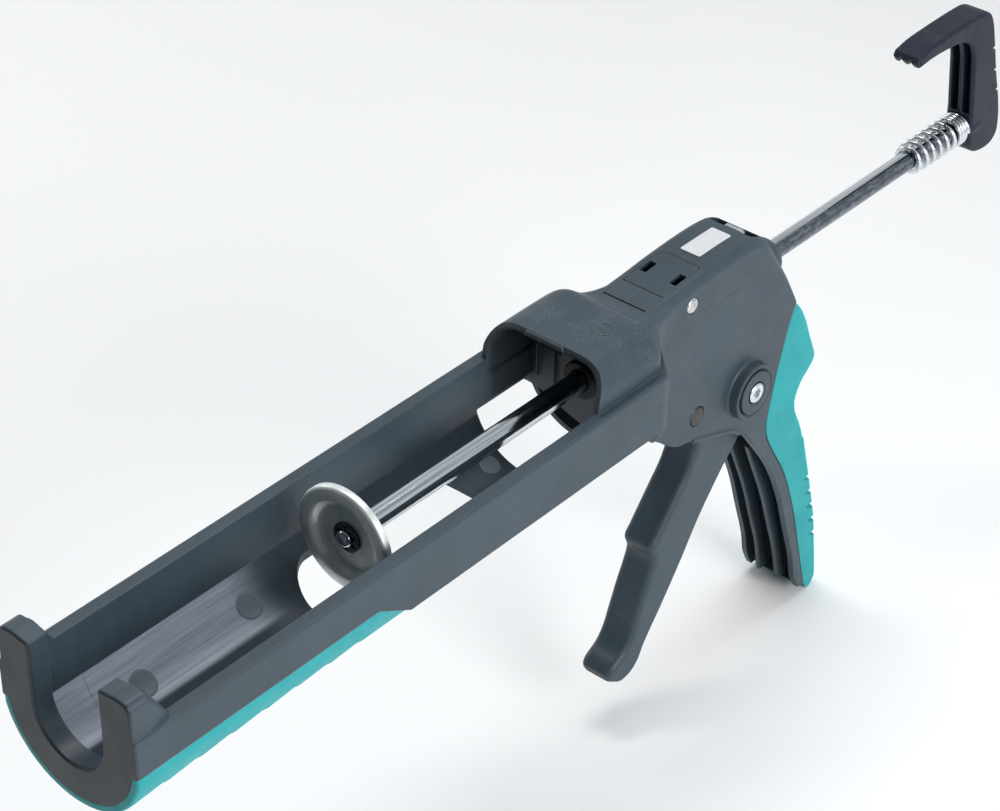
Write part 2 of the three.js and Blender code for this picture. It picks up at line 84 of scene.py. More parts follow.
def flow(points, spacing=2.0):
    """A smooth closed outline through the points.

    It's broken at corners, which have a third number, their radius.
    """
    count = len(points)
    place = [Vector(p[:2]) for p in points]
    corner = [len(p) > 2 for p in points]

    def tangent(i, side):
        before, at, after = place[i - 1], place[i], place[(i + 1) % count]
        if corner[i]:
            return (after - at) if side > 0 else (at - before)
        u, v = at - before, after - at
        direction = u / max(u.length, 1e-6) + v / max(v.length, 1e-6)
        return direction.normalized() * (v.length if side > 0 else u.length)

    out = []
    for i in range(count):
        j = (i + 1) % count
        out.append(points[i])
        pieces = max(1, round((place[j] - place[i]).length / spacing))
        t0, t1 = tangent(i, 1), tangent(j, -1)
        for k in range(1, pieces):
            t = k / pieces
            h = (2 * t**3 - 3 * t**2 + 1, t**3 - 2 * t**2 + t, -2 * t**3 + 3 * t**2, t**3 - t**2)
            q = place[i] * h[0] + t0 * h[1] + place[j] * h[2] + t1 * h[3]
            out.append((q.x, q.y))
    return fillet([p if len(p) > 2 else (p[0], p[1], 0) for p in out])


def arc(r, start, end, steps=24, centre=(0.0, 0.0)):
    """Points on a circle, angles in degrees from the first axis towards the second."""
    out = []
    for i in range(steps + 1):
        a = math.radians(start + (end - start) * i / steps)
        out.append((centre[0] + r * math.cos(a), centre[1] + r * math.sin(a), 0))
    return out


def flipped(points):
    """Mirror image of the points, across the second axis."""
    return [(-p[0], *p[1:]) for p in points]


def mirrored(half):
    """A half outline with its mirror image, across the second axis."""
    return [*half, *flipped(reversed(half))]


def mirrored_open(half):
    """The same for a half that ends on the axis, where its last point isn't repeated."""
    return [*half, *flipped(reversed(half[:-1]))]


def moved_in(outline, distances):
    """Counter-clockwise outline, each point moved inwards by its own distance."""
    out = []
    count = len(outline)
    for i, d in enumerate(distances):
        a, b, c = (Vector(outline[k]) for k in (i - 1, i, (i + 1) % count))
        u, v = (b - a).normalized(), (c - b).normalized()
        n, m = Vector((-u.y, u.x)), Vector((-v.y, v.x))
        middle = (n + m).normalized() if (n + m).length > 1e-6 else n
        out.append(b + middle * d / max(middle.dot(n), 0.6))
    return out


# ---------- solids ----------
def solid(name, points, faces):
    """A mesh object from points in millimetres."""
    mesh = bpy.data.meshes.new(name)
    mesh.from_pydata([Vector(p) * MM for p in points], [], faces)
    bm = bmesh.new()
    bm.from_mesh(mesh)
    bmesh.ops.remove_doubles(bm, verts=bm.verts, dist=2e-7)
    bmesh.ops.recalc_face_normals(bm, faces=bm.faces)
    bm.to_mesh(mesh)
    bm.free()
    obj = bpy.data.objects.new(name, mesh)
    COLLECTION.objects.link(obj)
    return obj


def rings_to_faces(rings, caps=True, wrap=False):
    """Four-sided faces between neighbouring rings, and a cap on each end."""
    n = len(rings[0])
    faces = []
    last = len(rings) if wrap else len(rings) - 1
    for k in range(last):
        a, b = k * n, ((k + 1) % len(rings)) * n
        faces += [(a + i, a + (i + 1) % n, b + (i + 1) % n, b + i) for i in range(n)]
    if caps and not wrap:
        faces += [tuple(range(n)), tuple(range((len(rings) - 1) * n, len(rings) * n))]
    return faces


def loft(name, rings, caps=True, wrap=False):
    """A skin over rings of the same number of points."""
    return solid(name, [p for ring in rings for p in ring], rings_to_faces(rings, caps, wrap))


PLANES = {
    "side": lambda a, b, t: (a, t, b),
    "section": lambda a, b, t: (t, a, b),
    "plan": lambda a, b, t: (a, b, t),
}


def prism(name, plane, outline, low, high, rim=(0.0, 0.0), steps=4):
    """An outline pushed from low to high.

    rim rounds the edge at each end: a radius, or a function of the point.
    """
    points = [Vector(p[:2]) for p in outline]
    area = sum(p.cross(q) for p, q in zip(points, points[1:] + points[:1]))
    if area < 0:
        points.reverse()
    place = PLANES[plane]
    rings = []
    for end, (level, into) in enumerate(((low, 1), (high, -1))):
        radii = [rim[end](p.x, p.y) if callable(rim[end]) else rim[end] for p in points]
        count = steps if max(radii) > 0 else 0
        ring_set = []
        for k in range(count + 1):
            a = math.pi / 2 * k / max(count, 1)
            if count == 0:
                inset, depth = [0.0] * len(points), [0.0] * len(points)
            else:
                inset = [r * (1 - math.sin(a)) for r in radii]
                depth = [r * (1 - math.cos(a)) for r in radii]
            shifted = moved_in(points, inset)
            ring_set.append([place(q.x, q.y, level + into * d) for q, d in zip(shifted, depth)])
        rings += ring_set if end == 0 else ring_set[::-1]
    return loft(name, rings)


def lathe(name, profile, axis="x", centre=(0.0, 0.0), n=96):
    """A profile of (radius, place along the axis), turned about an X- or Y-parallel line."""
    open_ended = profile[0][0] == 0 and profile[-1][0] == 0
    rings = []
    for r, t in profile:
        ring = []
        for i in range(n):
            turn = 2 * math.pi * i / n
            a, b = centre[0] + r * math.cos(turn), centre[1] + r * math.sin(turn)
            ring.append((t, a, b) if axis == "x" else (a, t, b))
        rings.append(ring)
    return loft(name, rings, caps=False, wrap=not open_ended)


def wire(name, path, radius, n=14):
    """A round wire along a path of points, with rounded ends."""
    points = [Vector(p) for p in path]
    rings = []
    normal = None
    last = len(points) - 1
    for i, p in enumerate(points):
        along = (points[min(i + 1, last)] - points[max(i - 1, 0)]).normalized()
        if normal is None:
            normal = along.orthogonal().normalized()
        normal = (normal - along * normal.dot(along)).normalized()
        side = along.cross(normal)

        def ring(r, shift=0.0):
            at = p + along * shift
            turn = [2 * math.pi * k / n for k in range(n)]
            return [tuple(at + normal * r * math.cos(a) + side * r * math.sin(a)) for a in turn]

        if i == 0:
            rings += [ring(radius * 0.55, -radius * 0.35), ring(radius * 0.9, -radius * 0.18)]
        rings.append(ring(radius))
        if i == last:
            rings += [ring(radius * 0.9, radius * 0.18), ring(radius * 0.55, radius * 0.35)]
    return loft(name, rings)


def combine(obj, other, operation):
    """Boolean of two closed solids, with the exact solver where the fast one leaves the mesh as it was."""
    before = len(obj.data.vertices)
    for solver in ("MANIFOLD", "EXACT"):
        mod = obj.modifiers.new("combine", "BOOLEAN")
        mod.operation, mod.solver, mod.object = operation, solver, other
        shown = obj.evaluated_get(bpy.context.evaluated_depsgraph_get())
        mesh = bpy.data.meshes.new_from_object(shown)
        obj.modifiers.clear()
        if len(mesh.polygons) > 3 and len(mesh.vertices) != before:
            obj.data = mesh
            break
    bpy.data.objects.remove(other)
    return obj


def cut(obj, *others):
    for other in others:
        combine(obj, other, "DIFFERENCE")
    return obj


def add(obj, *others):
    for other in others:
        combine(obj, other, "UNION")
    return obj


def on_side(s, near, far):
    """Low and high of a range across the width, on the left for s = 1 and on the right for -1."""
    return sorted((near * s, far * s))


def join(obj, *others):
    """Several closed solids as one piece."""
    bm = bmesh.new()
    for o in (obj, *others):
        bm.from_mesh(o.data)
    bm.to_mesh(obj.data)
    bm.free()
    for o in others:
        bpy.data.objects.remove(o)
    return obj


def cylinder_y(r, low, high, x, z, n=64):
    return lathe("cutter", [(0, low), (r, low), (r, high), (0, high)], "y", (x, z), n)


def cylinder_x(r, low, high, n=64):
    return lathe("cutter", [(0, low), (r, low), (r, high), (0, high)], "x", (0, 0), n)


def block(x0, x1, y0, y1, z0, z1, r=0.0):
    """A box, with its four upright edges rounded."""
    outline = fillet([(x0, y0), (x1, y0), (x1, y1), (x0, y1)], r)
    return prism("cutter", "plan", outline, z0, z1)


def groove(points, width, plane, low, high):
    """A thin strip along a line of points, to cut a fine line with."""
    place = [Vector(p) for p in points]
    left, right = [], []
    for i, p in enumerate(place):
        along = (place[min(i + 1, len(place) - 1)] - place[max(i - 1, 0)]).normalized()
        across = Vector((-along.y, along.x)) * width / 2
        left.append(tuple(p + across))
        right.append(tuple(p - across))
    return prism("cutter", plane, left + right[::-1], low, high)


# ---------- materials ----------
class Nodes:
    """Short calls that build one material's node tree."""

    def __init__(self, name):
        self.material = bpy.data.materials.new(name)
        self.material.use_nodes = True
        self.tree = self.material.node_tree
        self.shader = self.tree.nodes["Principled BSDF"]
        self.place = self.node("ShaderNodeTexCoord").outputs["Object"]

    def node(self, kind, **settings):
        made = self.tree.nodes.new(kind)
        for key, value in settings.items():
            setattr(made, key, value)
        return made

    def link(self, value, socket):
        if isinstance(value, bpy.types.NodeSocket):
            self.tree.links.new(value, socket)
        else:
            socket.default_value = value

    def math(self, operation, a, b=0.0):
        n = self.node("ShaderNodeMath", operation=operation)
        self.link(a, n.inputs[0])
        self.link(b, n.inputs[1])
        return n.outputs[0]

    def times(self, a, b):
        return self.math("MULTIPLY", a, b)

    def plus(self, a, b):
        return self.math("ADD", a, b)

    def length(self, a, b):
        return self.math("SQRT", self.plus(self.times(a, a), self.times(b, b)))

    def span(self, value, low, high, to_low=0.0, to_high=1.0):
        """Smooth step from to_low, where value is low, to to_high, where it is high."""
        n = self.node("ShaderNodeMapRange", interpolation_type="SMOOTHSTEP")
        for socket, v in zip(n.inputs, (value, low, high, to_low, to_high)):
            self.link(v, socket)
        return n.outputs[0]

    def stretched(self, scale, turn=(0, 0, 0)):
        n = self.node("ShaderNodeMapping")
        self.link(self.place, n.inputs["Vector"])
        n.inputs["Rotation"].default_value = turn
        n.inputs["Scale"].default_value = scale
        return n.outputs[0]

    def noise(self, scale, detail=3.0, roughness=0.5, vector=None):
        n = self.node("ShaderNodeTexNoise")
        self.link(vector if vector is not None else self.place, n.inputs["Vector"])
        n.inputs["Scale"].default_value = scale
        n.inputs["Detail"].default_value = detail
        n.inputs["Roughness"].default_value = roughness
        return n.outputs["Fac"]

    def mix(self, factor, a, b):
        n = self.node("ShaderNodeMix", data_type="RGBA")
        self.link(factor, n.inputs[0])
        for value, socket in ((a, n.inputs[6]), (b, n.inputs[7])):
            self.link((*value, 1.0) if isinstance(value, tuple) and len(value) == 3 else value, socket)
        return n.outputs[2]

    def axes(self):
        n = self.node("ShaderNodeSeparateXYZ")
        self.link(self.place, n.inputs[0])
        return n.outputs[0], n.outputs[1], n.outputs[2]

    def edges(self, radius, samples=4):
        """(normal with softened edges, 0 on flats to 1 on edges)."""
        soft = self.node("ShaderNodeBevel", samples=samples)
        soft.inputs["Radius"].default_value = radius
        flat = self.node("ShaderNodeNewGeometry")
        dot = self.node("ShaderNodeVectorMath", operation="DOT_PRODUCT")
        self.link(soft.outputs[0], dot.inputs[0])
        self.link(flat.outputs["Normal"], dot.inputs[1])
        return soft.outputs[0], self.span(dot.outputs["Value"], 0.995, 0.86)

    def bump(self, height, distance, normal=None, strength=1.0):
        n = self.node("ShaderNodeBump")
        self.link(height, n.inputs["Height"])
        n.inputs["Distance"].default_value = distance
        n.inputs["Strength"].default_value = strength
        if normal is not None:
            self.link(normal, n.inputs["Normal"])
        return n.outputs[0]

    def set(self, **values):
        for key, value in values.items():
            socket = self.shader.inputs[key.replace("_", " ")]
            if isinstance(value, tuple) and len(value) == 3:
                value = (*value, 1.0)
            self.link(value, socket)
        return self.material


SLATE = (0.044, 0.066, 0.085)
SLATE_LIGHT = (0.150, 0.190, 0.220)
SLATE_DARK = (0.036, 0.054, 0.070)
HOOK_SLATE = (0.017, 0.023, 0.040)


def slate_base(m, base=SLATE, shade=SLATE_DARK):
    """Grained satin plastic: returns colour, roughness, normal."""
    normal, edge = m.edges(0.0005)
    cloud = m.noise(22, 3, 0.5)
    colour = m.mix(m.span(cloud, 0.25, 0.75), shade, base)
    colour = m.mix(m.times(m.span(m.noise(160, 5, 0.7), 0.5, 0.8), 0.12), colour, SLATE_LIGHT)
    # edges painted lighter in patches: partly edge wear, partly a painted highlight along the edges
    rub_and_highlight = m.times(edge, m.span(m.noise(90, 4, 0.6), 0.25, 0.6, 0.35, 1.0))
    colour = m.mix(m.times(rub_and_highlight, 0.8), colour, SLATE_LIGHT)
    rough = m.span(m.noise(60, 5, 0.65), 0.3, 0.7, 0.38, 0.48)
    grain = m.noise(2600, 2, 0.5)
    normal = m.bump(grain, 0.00003, normal, 0.5)
    return colour, rough, normal


def slate(name="slate_plastic", base=SLATE, shade=SLATE_DARK, shine=0.36):
    m = Nodes(name)
    colour, rough, normal = slate_base(m, base, shade)
    return m.set(Base_Color=colour, Roughness=rough, Normal=normal, Specular_IOR_Level=shine)


def slate_cradle():
    """The cradle's plastic: a painted reflection on the burnished floor in front, a painted shadow along its
    near side, painted shade in the hood and on the front face, a rubbed hood, scuffs on the walls.
    """
    m = Nodes("slate_cradle")
    colour, rough, normal = slate_base(m)
    x, y, z = m.axes()
    radius = m.length(y, z)
    # painted reflection: the far side of the floor pan in front is painted a light bluish grey where it
    # mirrors the softbox; the smears, round lines and scuffs in it are real wear
    inside = m.times(m.span(radius, 0.0284, 0.0281), m.span(z, -0.0103, -0.0107))
    along = m.times(m.span(x, 0.016, 0.040), m.span(x, 0.1262, 0.1258))
    across = m.span(y, -0.0078, -0.0105)
    floor = m.times(m.times(inside, along), across)
    smear = m.noise(1.0, 4, 0.6, m.stretched((30, 800, 800)))
    round_lines = m.noise(1.0, 3, 0.6, m.stretched((1500, 40, 40)))
    reflection_and_burnish = m.mix(m.span(smear, 0.3, 0.7), (0.260, 0.300, 0.365), (0.370, 0.425, 0.500))
    reflection_and_burnish = m.mix(m.times(m.span(round_lines, 0.5, 0.8), 0.30), reflection_and_burnish, (0.40, 0.45, 0.52))
    slanted = m.stretched((40, 1700, 300), (0, 0, math.radians(28)))
    scuff = m.span(m.noise(1.0, 3, 0.6, slanted), 0.60, 0.72)
    reflection_and_burnish = m.mix(m.times(scuff, 0.35), reflection_and_burnish, (0.42, 0.47, 0.54))
    shadow = m.times(m.times(inside, along), m.span(y, -0.0105, -0.0070))
    colour = m.mix(m.times(shadow, 0.75), colour, (0.026, 0.034, 0.050))
    colour = m.mix(floor, colour, reflection_and_burnish)
    rough = m.plus(rough, m.times(floor, -0.05))
    rough = m.plus(rough, m.times(shadow, 0.4))
    # painted shade: the inside of the hood is painted near black
    hood_shade = m.times(m.span(x, -0.1125, -0.117), m.span(x, -0.1412, -0.1408))
    beside = m.math("MAXIMUM", m.math("SUBTRACT", m.math("ABSOLUTE", y), 0.0158), 0.0)
    above = m.math("MAXIMUM", m.math("SUBTRACT", z, 0.0152), 0.0)
    corner = m.length(beside, above)
    hood_shade = m.times(hood_shade, m.span(corner, 0.0127, 0.0121))
    colour = m.mix(m.times(hood_shade, 0.85), colour, (0.016, 0.022, 0.028))
    # rubbed, speckled top of the hood
    hood = m.times(m.span(z, 0.014, 0.024), m.span(x, -0.1555, -0.147))
    hood = m.times(hood, m.span(x, -0.108, -0.118))
    specks = m.span(m.noise(1500, 4, 0.75), 0.52, 0.66)
    patch = m.span(m.noise(55, 3, 0.6), 0.40, 0.62)
    worn = m.times(m.times(specks, patch), hood)
    colour = m.mix(m.times(worn, 0.6), colour, (0.24, 0.28, 0.31))
    rough = m.plus(rough, m.times(m.times(patch, hood), -0.09))
    # slanting scuffs on the inner walls near the front
    slant = m.stretched((60, 60, 2200), (0, math.radians(35), 0))
    scratch = m.span(m.noise(1.0, 3, 0.6, slant), 0.62, 0.72)
    wall = m.times(m.span(x, 0.085, 0.115), m.span(radius, 0.0300, 0.0295))
    colour = m.mix(m.times(m.times(scratch, wall), 0.35), colour, SLATE_LIGHT)
    # painted shade: the front face of the front wall is painted darker
    front = m.times(m.span(x, 0.1332, 0.1339), 0.55)
    colour = m.mix(front, colour, (0.010, 0.013, 0.018))
    normal = m.bump(m.times(round_lines, floor), 0.00003, normal, 0.4)
    return m.set(Base_Color=colour, Roughness=rough, Normal=normal, Specular_IOR_Level=0.36)


def teal():
    m = Nodes("teal_skin")
    normal, edge = m.edges(0.0006)
    colour = m.mix(m.span(m.noise(45, 4, 0.6), 0.3, 0.7), (0.004, 0.310, 0.335), (0.008, 0.355, 0.375))
    # painted highlight: edges painted a lighter teal
    colour = m.mix(m.times(edge, 0.25), colour, (0.05, 0.48, 0.49))
    rough = m.span(m.noise(120, 4, 0.6), 0.3, 0.7, 0.46, 0.60)
    normal = m.bump(m.noise(2200, 2, 0.5), 0.00004, normal, 0.5)
    return m.set(Base_Color=colour, Roughness=rough, Normal=normal, Specular_IOR_Level=0.45)


def label():
    m = Nodes("label_film")
    fibre = m.noise(500, 3, 0.6)
    colour = m.mix(m.span(fibre, 0.3, 0.7), (0.64, 0.655, 0.68), (0.70, 0.715, 0.74))
    return m.set(
        Base_Color=colour, Roughness=m.span(fibre, 0.3, 0.7, 0.3, 0.42), Normal=m.bump(fibre, 0.00002)
    )


def metal(name, dark, light, rough, lines, bump_distance=0.00003, metallic=1.0):
    """Plated or ground steel, with fine lines: lines is the noise's stretch along X, Y and Z."""
    m = Nodes(name)
    normal, _ = m.edges(0.0002, 3)
    streak = m.noise(1.0, 4, 0.65, m.stretched(lines))
    stain = m.noise(70, 3, 0.55)
    colour = m.mix(m.span(streak, 0.3, 0.7), dark, light)
    darker = tuple(c * 0.62 for c in dark)
    colour = m.mix(m.times(m.span(stain, 0.55, 0.8), 0.22), colour, darker)
    lined = m.span(streak, 0.3, 0.75, rough * 0.75, rough * 1.35)
    rough_out = m.plus(lined, m.span(stain, 0.4, 0.8, 0, 0.08))
    normal = m.bump(streak, bump_distance, normal, 0.5)
    return m.set(Base_Color=colour, Metallic=metallic, Roughness=rough_out, Normal=normal)


def polished_rod():
    """Ground steel with fine lengthwise lines; behind the housing a band along its near side is painted
    darker and mottled.
    """
    m = Nodes("polished_steel")
    normal, _ = m.edges(0.0002, 3)
    streak = m.noise(1.0, 4, 0.65, m.stretched((18, 1200, 1200)))
    mottle = m.noise(1.0, 4, 0.7, m.stretched((260, 700, 700)))
    x, y, z = m.axes()
    colour = m.mix(m.span(streak, 0.3, 0.7), (0.46, 0.49, 0.52), (0.78, 0.81, 0.84))
    # behind the housing, a band along the near, upper side is painted darker and mottled
    behind = m.span(x, -0.258, -0.264)
    side = m.plus(y, m.times(z, 0.15))
    band = m.times(m.span(side, 0.0018, 0.0024), m.span(z, -0.0034, -0.0028))
    band = m.times(band, behind)
    mottled_dark_band = m.mix(m.span(mottle, 0.45, 0.62), (0.085, 0.100, 0.125), (0.21, 0.235, 0.27))
    colour = m.mix(m.times(band, 0.92), colour, mottled_dark_band)
    rough = m.span(streak, 0.3, 0.75, 0.09, 0.17)
    normal = m.bump(streak, 0.00003, normal, 0.5)
    return m.set(Base_Color=colour, Metallic=1.0, Roughness=rough, Normal=normal)


# what each piece can look like: its material, and the name of its slot
LOOKS = {
    "slate": (slate(), "slate_plastic"),
    "cradle": (slate_cradle(), "slate_plastic"),
    "hook": (slate("slate_dark_plastic", HOOK_SLATE, (0.014, 0.019, 0.031), 0.2), "slate_plastic"),
    # painted shade: a near-black slate for the rod guide and the handle channel, parts that sit in shade
    "inside": (
        slate("slate_painted_shade", (0.014, 0.017, 0.021), (0.011, 0.013, 0.016), 0.15), "slate_plastic",
    ),
    "pad": (slate("slate_pad", (0.190, 0.220, 0.265), (0.150, 0.175, 0.210)), "slate_plastic"),
    "teal": (teal(), "teal_skin"),
    "label": (label(), "label_film"),
    "rod": (polished_rod(), "polished_steel"),
    "zinc": (
        metal("zinc_steel", (0.66, 0.69, 0.71), (0.78, 0.81, 0.83), 0.23, (60, 60, 60), 0.000004),
        "zinc_steel",
    ),
    "dish": (
        metal("zinc_dish", (0.66, 0.70, 0.69), (0.76, 0.80, 0.785), 0.42, (60, 90, 90), 0.00001, 0.6),
        "zinc_steel",
    ),
    "steel": (
        metal("bright_steel", (0.50, 0.51, 0.52), (0.70, 0.71, 0.72), 0.28, (300, 1500, 300)),
        "bright_steel",
    ),
    "dark": (
        metal("dark_steel", (0.055, 0.052, 0.050), (0.115, 0.108, 0.102), 0.40, (900, 900, 900)),
        "dark_steel",
    ),
}


def finish_piece(obj, name, look, body, nodes=(), angle=32):
    """Names, shades, paints and places one finished piece."""
    obj.name = name
    obj.data.name = name
    obj.data.materials.clear()
    material, slot = LOOKS[look]
    obj.data.materials.append(material)
    for polygon in obj.data.polygons:
        polygon.material_index = 0
    obj.data.shade_smooth()
    obj.data.set_sharp_from_angle(angle=math.radians(angle))
    weighted = obj.modifiers.new("weighted_normals", "WEIGHTED_NORMAL")
    weighted.keep_sharp = True
    weighted.weight = 80
    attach(obj, body)
    if nodes:
        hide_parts(*nodes)
    return obj


# ---------- main sizes, in millimetres ----------
ROD, HOLE = 4.5, 4.8  # radii of the rod and of the holes it runs in
FRONT, WALL = 134.8, 126.0  # the two faces of the cradle's front wall
SLOT_R = 17.3
RAIL, INNER, OUTER, SKIRT = 10.6, 27.8, 33.8, -15.5
BULK = -140.0  # front face of the bulkhead
SHELL_R, SKIN_R, FACE_R = 33.1, 34.3, 31.6  # cradle under the skin, the skin, the front wall
SKIN_TOP, SKIN_REAR = -5.2, -4.0
PIVOT = (-233.5, -47.0)
SHELL = 15.0  # half-width of the housing


# ---------- cradle ----------
def smooth_ring(x, half_width, top, bottom, top_r, bottom_r, n=10):
    """A closed ring in y, z at x: a box with rounded corners, always the same number of points."""
    w = half_width
    ring = []
    for cy, cz, r, start in (
        (w - top_r, top - top_r, top_r, 0),
        (-w + top_r, top - top_r, top_r, 90),
        (-w + bottom_r, bottom + bottom_r, bottom_r, 180),
        (w - bottom_r, bottom + bottom_r, bottom_r, 270),
    ):
        ring += [(x, p[0], p[1]) for p in arc(r, start, start + 90, n, (cy, cz))]
    return ring


def eased(stations, count=6):
    """Rows of numbers with smooth steps in between."""
    out = []
    for a, b in zip(stations, stations[1:]):
        for k in range(count):
            t = k / count
            out.append([p + (q - p) * t for p, q in zip(a, b)])
    out.append(list(stations[-1]))
    for _ in range(2):  # rounds the corners between stations
        threes = zip(out, out[1:], out[2:])
        inner = [[(a + 2 * b + c) / 4 for a, b, c in zip(*rows)] for rows in threes]
        out = [out[0], *inner, out[-1]]
    return out


def cradle_bay():
    """The channel: flat rails, outer skirts, leaning inner walls and the round floor pan."""
    floor_in = arc(INNER, -22.2, -90, 40)[1:]
    floor_out = arc(30.3, -21.5, -90, 40)[1:]
    outer = [
        (INNER, RAIL, 0.7), (OUTER, RAIL, 1.3), (OUTER, SKIRT, 0.9), (31.4, SKIRT, 0.6), (31.4, 7.6, 1.0),
        (29.9, 7.6, 0.8), (28.1, -10.9, 0), *floor_out,
    ]
    inner = [(25.75, -10.5, 0), *floor_in]
    outline = [
        *mirrored_open(outer[1:]), (-INNER, RAIL, 0.7), *flipped(inner[:-1]), *reversed(inner),
        (INNER, RAIL, 0.7),
    ]
    bay = prism("cradle_bay", "section", fillet(outline), -149.0, FRONT - 4)
    step = [(-4.5, -17), (16.2, SKIN_TOP + 0.02), (FRONT, SKIN_TOP + 0.02), (FRONT, -17)]
    for s in (1, -1):
        cut(bay, prism("cutter", "side", step, *on_side(s, 30.9, 36)))
    under_out = [(OUTER, -2, 0), *arc(SHELL_R, -12, -90, 40)]
    under_in = [(31.3, -2, 0), *arc(30.8, -12, -90, 40)]
    under = mirrored_open(under_out) + flipped(under_in) + under_in[-2::-1]
    shell = prism("under", "section", [p[:2] for p in under], SKIN_REAR + 1, FRONT - 4)
    cut(shell, prism("cutter", "plan", window(-90, 17.5, 25.6, 17), -40, -12))
    return add(bay, shell)


def front_fork():
    """The front wall with its open U-slot, the two posts and the webs that run down to the rails."""
    half = [
        (SLOT_R, 26.0, 1.2), (25.5, 27.2, 6), (32.7, 26.6, 5.4), (32.75, 11.2, 0),
        (OUTER, RAIL - 0.3, 0.5), (OUTER, SKIN_TOP + 0.02, 0.4), (31.2, SKIN_TOP - 0.1, 0),
        *arc(FACE_R, -11, -90, 36),
    ]
    slot = arc(SLOT_R, 0, -90, 36)
    outline = mirrored_open(half) + flipped(slot) + slot[-2::-1]

    def front_rim(y, z):
        """Round along the slot and the posts, and tight where the soft skin meets the face."""
        return 1.1 if math.hypot(y, z) < 27 or z > 12 else 0.3

    fork = prism("fork", "section", fillet(outline), WALL, FRONT, rim=(0.1, front_rim), steps=6)
    # each web narrows and sinks from its post to the rail, and leaves a thin ledge of the rail outside it
    webs = [
        (WALL + 4, 32.66, 26.5, 5.4), (WALL, 32.66, 26.4, 5.3), (124.9, 32.5, 25.6, 5.0),
        (123.2, 32.3, 24.0, 4.6), (119.5, 31.7, 18.0, 3.4), (116.4, 31.2, 12.8, 2.2),
        (115.0, 31.0, RAIL + 0.2, 1.2), (113.5, 30.9, RAIL - 0.8, 0.6),
    ]
    for s in (1, -1):
        rings = []
        for x, outer, top, r in eased(webs, 3):
            crown = [p[:2] for p in arc(r, 0, 90, 10, (outer - r, top - r))]
            ring = [(outer, RAIL - 5), *crown, (INNER + 0.5, top), (INNER, top - 0.5), (INNER, RAIL - 5)]
            rings.append([(x, s * a, b) for a, b in ring])
        add(fork, loft("web", rings))
    return fork


def hood_and_neck():
    """The arched hood over the rod, and the neck that narrows towards the housing."""
    rings = [smooth_ring(x, w, top, 4.0, r, 1.5) for x, w, top, r in eased([
        (-108, 29.8, 29.5, 14), (-147, 29.8, 29.6, 14), (-152, 29.2, 29.0, 13.6), (-154.5, 27.2, 27.2, 12),
        (-157.5, 23.8, 25.3, 10), (-161, 20.2, 24.7, 7.5), (-165.3, 17.5, 24.5, 6),
    ], 4)]
    hood = loft("hood", rings)
    inside = [smooth_ring(x, 27.2, 26.6, 4.0, 11.4, 1.0) for x in (-100, BULK)]
    cut(hood, loft("cutter", inside))
    rake = fillet([
        (-90, -5, 0), (-111.8, -5, 0), (-112.0, 9, 0), (-113.4, 17, 6), (-118.2, 26, 6),
        (-118.6, 40, 0), (-90, 40, 0),
    ])
    cut(hood, prism("cutter", "side", rake, -60, 60))
    # raised lip on the hood's front edge
    lip = flipped(fillet([(-8, 26.0, 0.3), (13, 26.0, 0.3), (11.6, 29.2, 0.8), (-6.8, 29.2, 0.8)]))
    add(hood, prism("lip", "section", lip, -123.5, -117.4, rim=(0.2, 0.7)))
    waist = [smooth_ring(x, w, top, bottom, 1.0, 1.4) for x, w, top, bottom in eased([
        (BULK - 1, OUTER - 0.02, RAIL - 0.02, SKIRT), (-150.8, OUTER - 0.05, RAIL - 0.02, SKIRT),
        (-152.6, 33.0, RAIL + 0.2, -16.6), (-155.6, 29.4, RAIL + 1.5, -21), (-159, 24.6, RAIL + 4, -28.5),
        (-162, 20.4, 16, -35), (-165.3, 17.5, 18.5, -37.5),
    ], 4)]
    add(hood, loft("waist", waist))
    wall = mirrored([(28, 24, 2), (28, -13.5, 1), (10, -20, 2), (0.3, -23, 1)])
    add(hood, prism("wall", "section", fillet(wall), -146, BULK, rim=(0, 0.4)))
    # upright ribs on the bulkhead's face
    for y in (-23.5, -14.5, 14.5, 23.5):
        rib = fillet([(y - 0.7, -14, 0), (y + 0.7, -14, 0), (y + 0.7, 25, 0), (y - 0.7, 25, 0)])
        add(hood, prism("rib", "section", rib, -141, BULK + 1.6, rim=(0, 0.4)))
    # groove across the roof where the cradle meets the housing
    return cut(hood, block(-165.1, -163.9, -11, 11, 23.7, 27, 0.55))


def window(x0, x1, half_width, end):
    """A long floor window seen from above, with half an ellipse at each end."""
    return [(x1 - end + a * end, b * half_width) for a, b, _ in arc(1, -90, 90, 40)] + [
        (x0 + end + a * end, b * half_width) for a, b, _ in arc(1, 90, 270, 40)
    ]


def pad(x, side, angle, radius):
    """A knurled round pad in the floor: a thin disc with a grid of raised diamonds."""
    out = Vector((0, side * math.cos(angle), -math.sin(angle)))
    across = Vector((0, side * math.sin(angle), math.cos(angle)))
    floor = INNER
    points, faces = [], []
    n = 24
    for i in range(n + 1):
        for j in range(n + 1):
            u, v = (2 * i / n - 1), (2 * j / n - 1)
            d = max(abs(u), abs(v)) / max(math.hypot(u, v), 1e-9)
            u, v = u * d, v * d
            r = math.hypot(u, v)
            bend = v * radius / floor
            knurl = 0.40 if (i + j) % 2 == 0 and r < 0.90 else 0.06
            depth = floor + 0.02 - (knurl if r < 0.99 else 0.0)
            at = out * depth * math.cos(bend) + across * depth * math.sin(bend)
            points.append((x + u * radius, at.y, at.z))
    for i in range(n):
        for j in range(n):
            a = i * (n + 1) + j
            faces.append((a, a + n + 1, a + n + 2, a + 1))
    low = len(points)
    points += [(p[0], p[1] * 1.02, p[2] * 1.02) for p in points]
    faces += [tuple(low + k for k in reversed(f)) for f in faces]
    edge = [i * (n + 1) for i in range(n)] + [n * (n + 1) + j for j in range(n)]
    edge += [(n - i) * (n + 1) + n for i in range(n)] + [n - j for j in range(n)]
    faces += [(a, b, b + low, a + low) for a, b in zip(edge, edge[1:] + edge[:1])]
    return solid("pad", points, faces)


